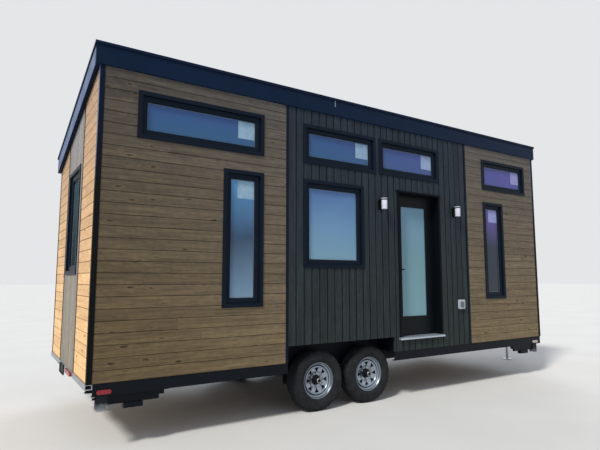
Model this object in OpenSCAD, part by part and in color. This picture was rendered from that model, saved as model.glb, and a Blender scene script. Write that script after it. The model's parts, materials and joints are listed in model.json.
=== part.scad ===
/* [House shell] */
// Length of the house over its wall boards
house_len = 7400; // [7000:20:9000]
// Width of the house over its wall boards
house_w = 2590; // [2400:10:2600]
// Height of the wall boards' lower edge above the ground
skirt_z = 640; // [600:10:700]
// Height of the roof's high edge above the door's and lower windows' heads
eave_h = 1130; // [1110:10:1230]
// Fall of the roof for each unit of width
roof_slope = 0.25; // [0.2:0.01:0.26]
// Thickness of the framed walls
wall_t = 145; // [110:5:180]
// Thickness of the wall boards with their battens
board_t = 25; // [18:1:35]
// Thickness of the floor deck
deck_t = 160; // [120:5:180]

/* [Roof] */
// Thickness of the roof's framed panel
roof_t = 150; // [100:5:170]
// Thickness of the roof's metal covering
covering_t = 14; // [8:1:25]
// Height of the fascia boards
fascia_h = 230; // [205:5:290]
// How far the eave fascias stand in front of the wall boards
eave_proud = 18; // [8:1:60]
// How far the gable fascias stand in front of the end wall boards
gable_proud = 50; // [20:1:80]
// How far the covering's drip edge stands in front of the fascias
drip_proud = 12; // [6:1:25]
// Height of the drip edge's turned lip
drip_h = 30; // [18:1:60]

/* [Wall zones] */
// Length of the dark boards on a side, between the middles of their trims
dark_bay = 3332; // [3200:2:3500]
// Length of the natural boards at the front of the door side
front_bay = 1860; // [1700:5:1950]
// Distance from the door side to the dark strip of an end wall
strip_y = 780; // [700:5:820]
// Width of the dark strip of an end wall
strip_w = 1030; // [960:5:1150]
// Width of each leg of the corner trims
corner_leg = 46; // [40:1:90]
// Width of the trims between natural and dark boards
joint_w = 34; // [20:1:50]
// How far the trims stand in front of the wall boards
trim_proud = 4; // [2:1:10]

/* [Windows] */
// Height of the door's and the lower windows' heads above the door's glass
head_h = 196; // [180:1:230]
// Width of the tall windows
tall_w = 515; // [450:5:600]
// Height of the tall windows' sills
tall_sill = 676; // [500:5:900]
// Width of the square windows
square_w = 980; // [850:5:1000]
// Height of the square windows' sills
square_sill = 1134; // [900:5:1300]
// Distance from the rear corner to the long clerestory window
long_x = 383; // [300:1:600]
// Width of the paired clerestory windows
short_w = 1205; // [1100:5:1225]
// Width of the front clerestory window
front_high_w = 1173; // [1100:1:1250]
// Height of the clerestory windows' sills above the lower windows' heads
clerestory_sill = 204; // [160:2:240]
// Height of the clerestory windows
clerestory_h = 510; // [440:5:540]
// Gap between the paired clerestory windows
pair_gap = 60; // [40:2:100]
// Gap between the rear windows and the trim beside them
rear_win_gap = 314; // [250:1:400]
// Gap between the paired windows and the trim behind them
pair_x = 217; // [160:1:300]
// Distance from the front corner to the front windows' rear edges
front_win_x = 1443; // [1400:1:1550]
// Width of the end windows
end_win_w = 790; // [700:5:820]
// Height of the end windows' sills
end_sill = 1045; // [950:5:1150]
// Height of the end windows
end_win_h = 1260; // [1100:5:1300]
// Visible width of a window's outer frame
frame_w = 45; // [30:1:60]
// Visible width of a window's sash
sash_w = 60; // [30:1:70]
// How far window and door frames stand in front of the boards
frame_proud = 12; // [6:1:20]
// Depth of a window's outer frame behind the boards' face
frame_d = 95; // [80:1:110]
// How far a sash is set back from its frame's face
sash_inset = 26; // [12:1:30]
// Depth of a sash
sash_d = 77; // [50:1:78]
// Thickness of the sealed glass
glass_t = 24; // [18:1:30]

/* [Door] */
// Gap between the door frame and the trim in front of it
door_x = 609.5; // [560:0.5:700]
// Width of the door leaf
leaf_w = 813; // [760:1:830]
// Thickness of the door leaf
leaf_t = 45; // [38:1:50]
// Thickness of the door frame's jambs
jamb_t = 22; // [18:1:30]
// Running gap around the door leaf
leaf_gap = 5; // [5:0.5:7]
// Width of the door's glass
lite_w = 500; // [440:5:560]
// Height of the door's glass
lite_h = 1600; // [1500:5:1650]
// Height of the door glass's lower edge above the leaf's
lite_up = 265; // [220:5:300]
// Width of the rim around the door's glass
lite_rim = 26; // [18:1:40]
// Height of the door sill
sill_h = 24; // [16:1:26]
// How far the door sill stands in front of the boards
sill_proud = 38; // [20:1:60]
// Height of the lever handle above the leaf's lower edge
lever_up = 940; // [880:5:1000]
// Radius of the hinge knuckles
knuckle_r = 8; // [7:0.5:10]
// Radius of the hinge pins
pin_r = 4.5; // [4:0.1:5]
// Clearance between a pin and its bore
pin_gap = 0.3; // [0.2:0.05:0.5]

/* [Wall fittings] */
// Distance from the door frame back to the rear wall lamp
lamp_rear_x = 325; // [250:1:360]
// Distance from the door frame forward to the front wall lamp
lamp_front_x = 320; // [250:1:400]
// Height of the middle of the wall lamps
lamp_h = 2020; // [1900:5:2100]
// Radius of the lamps' glass
lamp_r = 40; // [38:1:55]
// Height of the lamps' glass
lamp_glass_h = 137; // [120:1:180]
// Distance from the boards to the middle of the lamps' glass
lamp_out = 87; // [80:1:110]
// Distance from the front trim back to the outlet cover's middle
outlet_x = 186; // [120:1:300]
// Height of the outlet cover's middle
outlet_h = 607; // [500:5:700]
// Width of the outlet cover
outlet_w = 130; // [110:1:180]

/* [Wheels] */
// Distance from the wheel arch's rear end to the middle of the two axles
axles_x = 922; // [860:2:940]
// Gap between the tyres of the two axles
axle_gap = 78; // [50:2:110]
// Radius of the tyres
tyre_r = 370; // [360:1:375]
// Width of the tyres
tyre_w = 235; // [200:1:245]
// Radius of the wheels' rim flanges
rim_r = 221; // [200:1:230]
// Distance from the wall boards' face to the tyres
tyre_inset = 75; // [60:1:90]
// Gap between the front tyres and the wheel arch
arch_gap = 20; // [10:1:60]
// Height of the wheel arch above the tyres
arch_h = 98; // [60:1:110]
// Depth of the wheel wells from the wall boards' face
well_d = 350; // [345:1:380]
// Thickness of the wheel wells' steel
well_t = 5; // [3:0.5:8]
// Radius of the axle tubes
axle_r = 38; // [32:1:45]
// Radius of the wheel spindles
spindle_r = 24; // [18:1:26]
// Radius of the wheel hubs
hub_r = 62; // [50:1:70]

/* [Trailer] */
// Height of the main rails
rail_h = 150; // [120:5:180]
// Width of the main rails
rail_w = 60; // [50:1:80]
// Thickness of the rails' steel
steel_t = 8; // [5:0.5:10]
// Height of the side rails and the front channel
side_h = 120; // [100:5:140]
// Width of the side rails and the end channels
side_w = 55; // [40:1:60]
// How far the side rails lie behind the wall boards' face
side_inset = 8; // [4:1:20]
// How far the rear channel stands behind the house
rear_out = 15; // [8:1:40]
// Height of the rear channel
rear_h = 50; // [46:1:110]
// Height of the cross members
cross_h = 90; // [60:5:100]
// Width of the cross members
cross_w = 45; // [30:1:60]
// Distance between cross members
cross_pitch = 610; // [500:10:700]
// Distance from the house to the tip of the coupler
tongue_len = 1330; // [1200:10:1600]
// Distance between the tongue beams at the house
tongue_w = 1160; // [1000:10:1300]
// Height of the tongue beams
beam_h = 120; // [100:5:130]
// Width of the tongue beams
beam_w = 60; // [50:1:75]
// Radius of the coupler's ball socket
socket_r = 29.9; // [25:0.1:32]
// Depth of the coupler's ball socket
socket_d = 42; // [36:1:46]
// Gap between the coupler and the tongue jack's outer tube
jack_x = 3; // [2:0.5:60]
// Radius of the tongue jack's outer tube
jack_r = 30; // [26:1:36]
// Height of the tongue jack's top
jack_top = 1060; // [960:5:1150]
// Radius of the tongue jack's foot
foot_r = 95; // [70:1:120]
// Length of the stowed corner jacks
corner_jack_len = 700; // [600:10:760]
// Height of the stowed corner jacks
corner_jack_h = 140; // [100:1:160]
// Width of the number plate bracket
plate_w = 305; // [280:1:340]
// Distance of the plate bracket's middle from the middle of the house
plate_y = 180; // [0:5:300]
// Width of the tail light
tail_w = 380; // [300:5:450]
// Gap between the tail light and the plate bracket
tail_gap = 157; // [20:1:200]
// Width of the side markers
marker_w = 136; // [100:1:180]
// Height of the tail light and the side markers
light_h = 42; // [34:1:46]
// Distance from each end of the house to a side marker
marker_x = 160; // [120:1:400]

/* [Hidden] */
$fn = 48;

dark_steel = [0.13, 0.14, 0.15];
natural_wood = [0.62, 0.48, 0.32];
dark_wood = [0.20, 0.22, 0.23];
navy_metal = [0.09, 0.13, 0.18];
door_paint = [0.10, 0.12, 0.13];

// Overall reach, with the middle of the bounding box over the origin
rear_reach = gable_proud + drip_proud;
lamp_cap_over = 4;
side_shift = (lamp_out + lamp_r + lamp_cap_over - eave_proud - drip_proud) / 2;
rear_x = -(rear_reach + house_len + tongue_len) / 2 + rear_reach;
front_x = rear_x + house_len;
face_y = -house_w / 2;
eps = 1;
big = 2 * house_len;

// Middles of the trims on a side, and the ends of the dark boards between them
front_joint_x = front_x - front_bay;
rear_joint_x = front_joint_x - dark_bay;
dark_span = [rear_joint_x + joint_w / 2, front_joint_x - joint_w / 2];

// Heights of the house's pieces above the ground
deck_z = skirt_z + deck_t;
leaf_z = deck_z + sill_h + leaf_gap;
head_z = leaf_z + lite_up + lite_h + head_h;
high_z = head_z + eave_h;
inner_y = board_t + wall_t;
roof_drop = covering_t + roof_t;

// Door leaf, its frame and its hinge axis, which stands on the inner face
leaf_h = head_z - jamb_t - leaf_gap - leaf_z;
leaf_y = face_y + inner_y - leaf_t;
door_x1 = dark_span[1] - door_x;
leaf_x1 = door_x1 - jamb_t - leaf_gap;
leaf_x0 = leaf_x1 - leaf_w;
door_x0 = leaf_x0 - leaf_gap - jamb_t;
lamp_xs = [door_x0 - lamp_rear_x, door_x1 + lamp_front_x];
hinge_x = leaf_x1 + leaf_gap / 2;
hinge_y = face_y + inner_y + knuckle_r;
hinge_h = 100;
hinge_plate_t = 3;
hinge_plate_w = 42;
hinge_inset = 180;
stop_w = 14;
stop_t = 26;
rim_proud = 4;

// Wheels
axle_z = tyre_r;
axle_pitch = 2 * tyre_r + axle_gap;
arch_x0 = dark_span[0];
axles_mid_x = arch_x0 + axles_x;
axle_xs = [axles_mid_x - axle_pitch / 2, axles_mid_x + axle_pitch / 2];
wheel_y = face_y + tyre_inset + tyre_w / 2;
arch_x1 = axle_xs[1] + tyre_r + arch_gap;
arch_z = 2 * tyre_r + arch_h;
hub_in = 70;
hub_out = 38;
bore_in = 60;
disc_out = 12;
disc_t = 12;
rim_t = 8;
rim_half = tyre_w / 2 - 26;
vent_n = 8;

// Running gear
spring_leaf_t = 10;
spring_w = 50;
spring_half = axle_pitch / 2 - 90;
spring_z = axle_z - axle_r - 4 * spring_leaf_t;
rail_y = face_y + well_d;
rail_z = skirt_z - rail_h;
spring_y = rail_y + rail_w / 2;
hanger_t = 8;
eye_r = 20;
hanger_gap = 0.5;
hanger_pin_r = 9;

// Tongue
coupler_nose = 52;
coupler_neck = 165;
coupler_w = 90;
coupler_h = 76;
coupler_overlap = 2 * coupler_w;
beam_drop = 4;
tip_x = front_x + tongue_len;
ball_x = tip_x - coupler_nose;
beam_end_x = ball_x - coupler_neck;
beam_z = skirt_z - beam_h - beam_drop;
coupler_x0 = beam_end_x - coupler_overlap;
coupler_z = beam_z + beam_h - coupler_h;
jack_at = coupler_x0 - jack_x - jack_r;

function roof_z(y) = high_z - roof_slope * (y - face_y);

// Windows as [x of the rear edge, width, z of the sill, height]
tall_z = skirt_z + tall_sill;
square_z = skirt_z + square_sill;
high_sill_z = head_z + clerestory_sill;
rear_win_x1 = rear_joint_x - joint_w / 2 - rear_win_gap;
pair_x0 = dark_span[0] + pair_x;
front_win_x0 = front_x - front_win_x;
low_windows = [
    [rear_win_x1 - tall_w, tall_w, tall_z, head_z - tall_z],
    [pair_x0, square_w, square_z, head_z - square_z],
    [front_win_x0, tall_w, tall_z, head_z - tall_z]
];
clerestories = [
    [rear_x + long_x, rear_win_x1 - rear_x - long_x, high_sill_z, clerestory_h],
    [pair_x0, short_w, high_sill_z, clerestory_h],
    [pair_x0 + short_w + pair_gap, short_w, high_sill_z, clerestory_h],
    [front_win_x0, front_high_w, high_sill_z, clerestory_h]
];

// The end windows as [y of the edge towards the door side, width, z of the sill, height]
end_window = [face_y + strip_y + (strip_w - end_win_w) / 2, end_win_w, skirt_z + end_sill, end_win_h];

// A box from one corner to the opposite one
module span(a, b) {
    translate(a) cube(b - a);
}

// An outline of y and z carried along x from x0 to x1
module along_x(x0, x1, pts) {
    translate([x0, 0, 0]) rotate([90, 0, 90]) linear_extrude(height = x1 - x0) polygon(pts);
}

// Children cut off at a level that lies a drop below the roof
module below_roof(drop) {
    y0 = -house_w;
    y1 = house_w;
    difference() {
        children();
        along_x(-big, big, [
            [y0, roof_z(y0) - drop], [y1, roof_z(y1) - drop],
            [y1, roof_z(y0) + fascia_h], [y0, roof_z(y0) + fascia_h]
        ]);
    }
}

// A band that follows the roof between two drops below it
module roof_band(x0, x1, y0, y1, drop_top, drop_bottom) {
    along_x(x0, x1, [
        [y0, roof_z(y0) - drop_top], [y0, roof_z(y0) - drop_bottom],
        [y1, roof_z(y1) - drop_bottom], [y1, roof_z(y1) - drop_top]
    ]);
}

// Copies for the left side, which has the door, and the right side
module both_sides() {
    children();
    mirror([0, 1, 0]) children();
}

// Copies for the rear end and the hitch end of the house
module both_ends() {
    children();
    translate([rear_x + front_x, 0, 0]) mirror([1, 0, 0]) children();
}

// Clear holes for windows in a wall along x, in the door side or the back
module window_holes(list, y0, y1, over = 0) {
    for (w = list)
        span([w[0], y0, w[2]], [w[0] + w[1], y1, w[2] + w[3] + over]);
}

module end_window_hole(x0, x1) {
    w = end_window;
    span([x0, w[0], w[2]], [x1, w[0] + w[1], w[2] + w[3]]);
}

// Trailer
module channel(x0, x1, w, h, t) {
    along_x(x0, x1, [[0, 0], [w, 0], [w, t], [t, t], [t, h - t], [w, h - t], [w, h], [0, h]]);
}

module main_rails() {
    color(dark_steel)
        both_sides()
            translate([0, rail_y, rail_z])
                channel(rear_x + side_w, front_x - side_w, rail_w, rail_h, steel_t);
}

// Cross members lie between the rails, and short arms carry the side rails
module cross_members() {
    first = rear_x + side_w + cross_pitch;
    count = floor((front_x - side_w - first - cross_w) / cross_pitch) + 1;
    side_in = face_y + side_inset + side_w;
    color(dark_steel)
        for (i = [0 : count - 1]) {
            x = first + i * cross_pitch;
            span([x, rail_y + rail_w, skirt_z - cross_h], [x + cross_w, -rail_y - rail_w, skirt_z]);
            if (x + cross_w < arch_x0 || x > arch_x1)
                both_sides()
                    span([x, side_in, skirt_z - cross_h], [x + cross_w, rail_y, skirt_z]);
        }
}

module side_rails() {
    y0 = face_y + side_inset;
    color(dark_steel)
        both_sides() {
            translate([0, y0, skirt_z - side_h])
                channel(rear_x + side_w, arch_x0, side_w, side_h, steel_t);
            translate([0, y0, skirt_z - side_h])
                channel(arch_x1, front_x - side_w, side_w, side_h, steel_t);
        }
}

module rear_channel() {
    y0 = face_y + side_inset;
    color("silver")
        difference() {
            span([rear_x - rear_out, y0, skirt_z - rear_h], [rear_x + side_w, -y0, skirt_z]);
            span([rear_x - rear_out + steel_t, y0 - eps, skirt_z - rear_h + steel_t],
                 [rear_x + side_w - steel_t, -y0 + eps, skirt_z - steel_t]);
        }
}

module front_channel() {
    y0 = face_y + side_inset;
    color(dark_steel)
        span([front_x - side_w, y0, skirt_z - side_h], [front_x, -y0, skirt_z]);
}

// Two beams run in from the front channel to the coupler's sides
module tongue_beams() {
    run = beam_end_x - front_x;
    turn = atan2(tongue_w / 2 - coupler_w / 2, run + coupler_w);
    long = 2 * run;
    color(dark_steel)
        both_sides()
            difference() {
                translate([front_x, -tongue_w / 2, beam_z])
                    rotate([0, 0, turn])
                        translate([-beam_w * 2, -beam_w / 2, 0]) cube([long, beam_w, beam_h]);
                span([front_x - long, -house_w, 0], [front_x, house_w, skirt_z + eps]);
                span([beam_end_x, -house_w, 0], [front_x + 2 * long, house_w, skirt_z + eps]);
                span([front_x - eps, -coupler_w / 2, 0], [tip_x, house_w, skirt_z + eps]);
            }
}

// The coupler straddles the beams' ends, with a blind socket for the ball and a latch on top
module coupler() {
    post_r = 12;
    post_h = 46;
    latch_w = 28;
    latch_t = 12;
    latch_len = 80;
    top = coupler_z + coupler_h;
    post_x = ball_x - 2 * coupler_nose - post_r;
    latch_z = top + post_h - latch_t - 4;
    color("silver")
        difference() {
            union() {
                span([coupler_x0, -coupler_w / 2, coupler_z], [ball_x, coupler_w / 2, top]);
                translate([ball_x, 0, coupler_z]) cylinder(r = coupler_nose, h = coupler_h);
                translate([post_x, 0, top]) cylinder(r = post_r, h = post_h);
                span([post_x - latch_len, -latch_w / 2, latch_z], [post_x, latch_w / 2, latch_z + latch_t]);
            }
            translate([ball_x, 0, coupler_z - eps]) cylinder(r = socket_r, h = socket_d + eps);
        }
}

// The jack stands on the ground and hangs from a plate that lies on the beams
module tongue_jack() {
    plate_t = 8;
    plate_len = 150;
    plate_z = beam_z + beam_h;
    plate_half = (tongue_w / 2) * (tip_x - jack_at) / tongue_len + beam_w;
    foot_t = 12;
    leg_r = jack_r - 6;
    tube_z = beam_z - 90;
    cap_h = 78;
    cap_over = 8;
    shaft_r = 10;
    shaft_len = 70;
    crank_z = jack_top - cap_h / 2 - 6;
    crank_t = 12;
    crank_w = 28;
    crank_len = 150;
    grip_r = 12;
    grip_len = 100;
    color("dimgray")
        translate([jack_at, 0, 0]) {
            cylinder(r = foot_r, h = foot_t);
            translate([0, 0, foot_t - eps]) cylinder(r = leg_r, h = beam_z);
            translate([0, 0, tube_z]) cylinder(r = jack_r, h = jack_top - tube_z);
            translate([0, 0, jack_top + cap_over - cap_h]) cylinder(r = jack_r + cap_over, h = cap_h);
            span([-plate_len / 2, -plate_half, plate_z], [plate_len / 2, plate_half, plate_z + plate_t]);
            translate([0, 0, crank_z]) rotate([90, 0, 0]) {
                cylinder(r = shaft_r, h = shaft_len);
                span([-shaft_r, -crank_w / 2, shaft_len], [crank_len, crank_w / 2, shaft_len + crank_t]);
                translate([crank_len - grip_r, 0, shaft_len]) cylinder(r = grip_r, h = grip_len);
            }
        }
}

// Running gear
module axles() {
    stop = wheel_y + hub_in + 5;
    color(dark_steel)
        for (x = axle_xs) {
            translate([x, stop, axle_z]) rotate([-90, 0, 0]) cylinder(r = axle_r, h = -2 * stop);
            translate([x, wheel_y + hub_in - bore_in + 1, axle_z])
                rotate([-90, 0, 0]) cylinder(r = spindle_r, h = -2 * (wheel_y + hub_in - bore_in + 1));
        }
}

module one_spring() {
    leaf = [spring_half, spring_half * 0.76, spring_half * 0.54, spring_half * 0.3];
    for (i = [0 : 3])
        span([-leaf[3 - i], -spring_w / 2, i * spring_leaf_t], [leaf[3 - i], spring_w / 2, (i + 1) * spring_leaf_t]);
    for (s = [-1, 1])
        translate([s * spring_half, -spring_w / 2, 3 * spring_leaf_t + eye_r])
            rotate([-90, 0, 0]) difference() {
                cylinder(r = eye_r, h = spring_w);
                translate([0, 0, -eps]) cylinder(r = hanger_pin_r, h = spring_w + 2 * eps);
            }
}

module leaf_springs() {
    color(dark_steel)
        both_sides()
            for (x = axle_xs)
                translate([x, spring_y, spring_z]) one_spring();
}

// Hangers drop from the rails to the spring eyes, each with its own pin
module spring_hangers() {
    eye_z = spring_z + 3 * spring_leaf_t + eye_r;
    cheek_h = rail_z - eye_z + eye_r;
    inner = spring_w / 2 + hanger_gap;
    hanger_xs = [axle_xs[0] - spring_half, axle_xs[0] + spring_half, axle_xs[1] - spring_half,
                 axle_xs[1] + spring_half];
    color(dark_steel)
        both_sides()
            for (x = hanger_xs) {
                for (s = [-1, 1])
                    translate([x - eye_r, spring_y + s * inner - (s < 0 ? hanger_t : 0), eye_z - eye_r])
                        cube([2 * eye_r, hanger_t, cheek_h]);
                translate([x, spring_y - inner - hanger_t, eye_z])
                    rotate([-90, 0, 0]) cylinder(r = hanger_pin_r - pin_gap, h = 2 * (inner + hanger_t));
                span([x - eye_r, spring_y - inner, rail_z - hanger_t], [x + eye_r, spring_y + inner, rail_z]);
            }
}

// Steel boxes over the wheels, open below and outside
module wheel_wells() {
    y0 = face_y + board_t;
    y1 = face_y + well_d;
    color(dark_steel)
        both_sides() {
            span([arch_x0, y0, arch_z], [arch_x1, y1, arch_z + well_t]);
            span([arch_x0, y1 - well_t, skirt_z - side_h], [arch_x1, y1, arch_z + well_t]);
            span([arch_x0, y0, skirt_z], [arch_x0 + well_t, y1, arch_z + well_t]);
            span([arch_x1 - well_t, y0, skirt_z], [arch_x1, y1, arch_z + well_t]);
        }
}

// Folded scissor jacks hang below the side rails near the corners, standing at the origin
module corner_jack() {
    plate_t = 6;
    w = 70;
    arm_inset = 12;
    arm_end = 40;
    lower_inset = arm_inset + plate_t;
    lower_end = 90;
    foot_len = 190;
    screw_r = 11;
    screw_len = 80;
    screw_out = 30;
    cheek_len = 105;
    mid_x = corner_jack_len / 2;
    top_z = skirt_z - side_h;
    plate_z = top_z - plate_t;
    arm_h = (corner_jack_h - 2 * plate_t) / 3;
    span([0, 0, plate_z], [corner_jack_len, w, top_z]);
    span([arm_end, arm_inset, plate_z - arm_h], [corner_jack_len - arm_end, w - arm_inset, plate_z]);
    span([lower_end, lower_inset, plate_z - 2 * arm_h],
         [corner_jack_len - lower_end, w - lower_inset, plate_z - arm_h]);
    span([mid_x - foot_len / 2, 0, top_z - corner_jack_h], [mid_x + foot_len / 2, w, plate_z - 2 * arm_h]);
    for (y = [0, w - plate_t])
        span([0, y, top_z - corner_jack_h], [cheek_len, y + plate_t, plate_z]);
    translate([-screw_out, w / 2, plate_z - arm_h / 2])
        rotate([0, 90, 0]) cylinder(r = screw_r, h = screw_len);
}

module corner_jacks() {
    inset = 95;
    rail_inset = 12;
    color("dimgray")
        both_ends()
            both_sides()
                translate([rear_x + inset, face_y + side_inset + rail_inset, 0]) corner_jack();
}

// An oval lamp of width w and height h that stands out by d along z
module oval(w, h, d) {
    linear_extrude(height = d)
        union() {
            square([w - h, h], center = true);
            for (s = [-1, 1]) translate([s * (w - h) / 2, 0]) circle(d = h);
        }
}

// A black bracket for a number plate, hung on the rear channel
module plate_bracket() {
    h = 112;
    lip = 14;
    rim = 8;
    t = 5;
    x = rear_x - rear_out;
    top_z = skirt_z - 3;
    color("black")
        difference() {
            span([x - lip, plate_y - plate_w / 2, top_z - h], [x, plate_y + plate_w / 2, top_z]);
            span([x - lip - eps, plate_y - plate_w / 2 + rim, top_z - h + rim],
                 [x - t, plate_y + plate_w / 2 - rim, top_z - rim]);
        }
}

// A tail light on the rear channel and four markers on the side rails
module running_lights() {
    tail_t = 24;
    marker_t = 16;
    marker_drop = 80;
    tail_y = plate_y - plate_w / 2 - tail_gap - tail_w / 2;
    color("crimson") {
        translate([rear_x - rear_out, tail_y, skirt_z - rear_h / 2])
            rotate([90, 0, -90]) oval(tail_w, light_h, tail_t);
        both_ends()
            both_sides()
                translate([rear_x + marker_x, face_y + side_inset, skirt_z - marker_drop])
                    rotate([90, 0, 0]) oval(marker_w, light_h, marker_t);
    }
}

// House floor and framed walls
module floor_deck() {
    x0 = rear_x + board_t;
    x1 = front_x - board_t;
    y0 = face_y + board_t;
    color("tan")
        difference() {
            span([x0, y0, skirt_z], [x1, -y0, deck_z]);
            both_sides()
                span([arch_x0, y0 - eps, skirt_z - eps], [arch_x1, face_y + well_d, deck_z + eps]);
        }
}

module front_wall_upper() {
    y0 = face_y + board_t;
    y1 = face_y + inner_y;
    color("burlywood")
        below_roof(roof_drop)
            difference() {
                span([rear_x + board_t, y0, head_z], [front_x - board_t, y1, high_z]);
                window_holes(clerestories, y0 - eps, y1 + eps);
            }
}

// Walls stand on the deck, step over the wheel wells, and may end at the windows' heads
module lower_wall(x0, x1, top) {
    y0 = face_y + board_t;
    y1 = face_y + inner_y;
    well_top = arch_z + well_t;
    difference() {
        span([x0, y0, deck_z], [x1, y1, top]);
        span([arch_x0, y0 - eps, deck_z - eps], [arch_x1, y1 + eps, well_top]);
        window_holes(low_windows, y0 - eps, y1 + eps, top == head_z ? eps : 0);
    }
}

module front_wall_rear() {
    color("burlywood") lower_wall(rear_x + board_t, door_x0, head_z);
}

module front_wall_front() {
    color("burlywood") lower_wall(door_x1, front_x - board_t, head_z);
}

module back_wall() {
    color("burlywood")
        below_roof(roof_drop)
            mirror([0, 1, 0])
                lower_wall(rear_x + board_t, front_x - board_t, high_z);
}

module end_wall() {
    x0 = rear_x + board_t;
    y0 = face_y + inner_y;
    below_roof(roof_drop)
        difference() {
            span([x0, y0, deck_z], [x0 + wall_t, -y0, high_z]);
            end_window_hole(x0 - eps, x0 + wall_t + eps);
        }
}

module to_hitch_end() {
    translate([rear_x + front_x, 0, 0]) mirror([1, 0, 0]) children();
}

module rear_end_wall() {
    color("burlywood") end_wall();
}

module hitch_end_wall() {
    color("burlywood") to_hitch_end() end_wall();
}

// Wall boards: natural boards at both ends, dark boards between them
natural_rear = [rear_x + corner_leg, rear_joint_x - joint_w / 2];
natural_front = [front_joint_x + joint_w / 2, front_x - corner_leg];

module skin(x0, x1) {
    y1 = face_y + board_t;
    difference() {
        span([x0, face_y, skirt_z], [x1, y1, high_z]);
        span([arch_x0, face_y - eps, skirt_z - eps], [arch_x1, y1 + eps, arch_z]);
        window_holes(low_windows, face_y - eps, y1 + eps);
    }
}

module natural_skins() {
    skin(natural_rear[0], natural_rear[1]);
    skin(natural_front[0], natural_front[1]);
}

module front_natural_boards() {
    y1 = face_y + board_t;
    color(natural_wood)
        below_roof(fascia_h)
            difference() {
                natural_skins();
                window_holes(clerestories, face_y - eps, y1 + eps);
            }
}

module front_dark_boards() {
    y1 = face_y + board_t;
    color(dark_wood)
        below_roof(fascia_h)
            difference() {
                skin(dark_span[0], dark_span[1]);
                window_holes(clerestories, face_y - eps, y1 + eps);
                span([door_x0, face_y - eps, deck_z], [door_x1, y1 + eps, head_z]);
            }
}

module back_natural_boards() {
    color(natural_wood) below_roof(fascia_h) mirror([0, 1, 0]) natural_skins();
}

module back_dark_boards() {
    color(dark_wood) below_roof(fascia_h) mirror([0, 1, 0]) skin(dark_span[0], dark_span[1]);
}

// A strip of an end wall's boards between two distances from the door side
module end_skin(a, b) {
    below_roof(fascia_h)
        difference() {
            span([rear_x, face_y + a, skirt_z], [rear_x + board_t, face_y + b, high_z]);
            end_window_hole(rear_x - eps, rear_x + board_t + eps);
        }
}

module end_natural_boards() {
    color(natural_wood)
        both_ends() {
            end_skin(corner_leg, strip_y - joint_w / 2);
            end_skin(strip_y + strip_w + joint_w / 2, house_w - corner_leg);
        }
}

module end_dark_boards() {
    color(dark_wood) both_ends() end_skin(strip_y + joint_w / 2, strip_y + strip_w - joint_w / 2);
}

// Angle trims fill the corners, and flat trims fill the joints
module corner_trims() {
    p = trim_proud;
    color(navy_metal)
        below_roof(fascia_h)
            both_ends()
                both_sides()
                    difference() {
                        span([rear_x - p, face_y - p, skirt_z],
                             [rear_x + corner_leg, face_y + corner_leg, high_z]);
                        span([rear_x + board_t, face_y + board_t, skirt_z - eps],
                             [rear_x + big, face_y + big, high_z + eps]);
                    }
}

module side_joint(x) {
    span([x - joint_w / 2, face_y - trim_proud, skirt_z],
         [x + joint_w / 2, face_y + board_t, high_z]);
}

module end_joint(y) {
    span([rear_x - trim_proud, y - joint_w / 2, skirt_z],
         [rear_x + board_t, y + joint_w / 2, high_z]);
}

module joint_trims() {
    color(navy_metal)
        below_roof(fascia_h) {
            both_sides() {
                side_joint(rear_joint_x);
                side_joint(front_joint_x);
            }
            both_ends() {
                end_joint(face_y + strip_y);
                end_joint(face_y + strip_y + strip_w);
            }
        }
}

// Roof
module roof_panel() {
    color("burlywood")
        roof_band(rear_x + board_t, front_x - board_t, face_y + board_t, -face_y - board_t,
                  covering_t, roof_drop);
}

module roof_covering() {
    x0 = rear_x - rear_reach;
    x1 = front_x + rear_reach;
    y0 = face_y - eave_proud - drip_proud;
    lip = 3;
    color([0.35, 0.37, 0.4])
        along_x(x0, x1, [
            [y0, roof_z(y0)], [y0, roof_z(y0) - drip_h], [y0 + lip, roof_z(y0 + lip) - drip_h],
            [y0 + lip, roof_z(y0 + lip) - covering_t], [-y0 - lip, roof_z(-y0 - lip) - covering_t],
            [-y0 - lip, roof_z(-y0 - lip) - drip_h], [-y0, roof_z(-y0) - drip_h], [-y0, roof_z(-y0)]
        ]);
}

module eave_fascias() {
    x0 = rear_x - gable_proud;
    x1 = front_x + gable_proud;
    color(navy_metal) {
        roof_band(x0, x1, face_y - eave_proud, face_y + board_t, covering_t, fascia_h);
        roof_band(x0, x1, -face_y - board_t, -face_y + eave_proud, covering_t, fascia_h);
    }
}

module gable_fascias() {
    color(navy_metal)
        both_ends()
            roof_band(rear_x - gable_proud, rear_x + board_t, face_y + board_t, -face_y - board_t,
                      covering_t, fascia_h);
}

// A window as an outer frame with a sash set back in it, standing at the origin
module frame_shape(w, h) {
    difference() {
        span([0, -frame_proud, 0], [w, frame_d, h]);
        span([frame_w, -frame_proud - eps, frame_w], [w - frame_w, frame_d + eps, h - frame_w]);
    }
    difference() {
        span([frame_w, sash_inset - frame_proud, frame_w],
             [w - frame_w, sash_inset - frame_proud + sash_d, h - frame_w]);
        span([frame_w + sash_w, -frame_proud, frame_w + sash_w],
             [w - frame_w - sash_w, frame_d, h - frame_w - sash_w]);
    }
}

module pane_shape(w, h) {
    edge = frame_w + sash_w;
    y0 = sash_inset - frame_proud + (sash_d - glass_t) / 2;
    span([edge, y0, edge], [w - edge, y0 + glass_t, h - edge]);
}

module place_side(w) {
    translate([w[0], face_y, w[2]]) children();
}

// Turned to face the rear, with its left edge away from the door side
module place_end() {
    translate([rear_x, end_window[0] + end_window[1], end_window[2]]) rotate([0, 0, -90]) children();
}

module each_window() {
    for (w = low_windows)
        both_sides() place_side(w) {
            $w = w[1];
            $h = w[3];
            children();
        }
    for (w = clerestories)
        place_side(w) {
            $w = w[1];
            $h = w[3];
            children();
        }
    both_ends()
        place_end() {
            $w = end_window[1];
            $h = end_window[3];
            children();
        }
}

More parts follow.
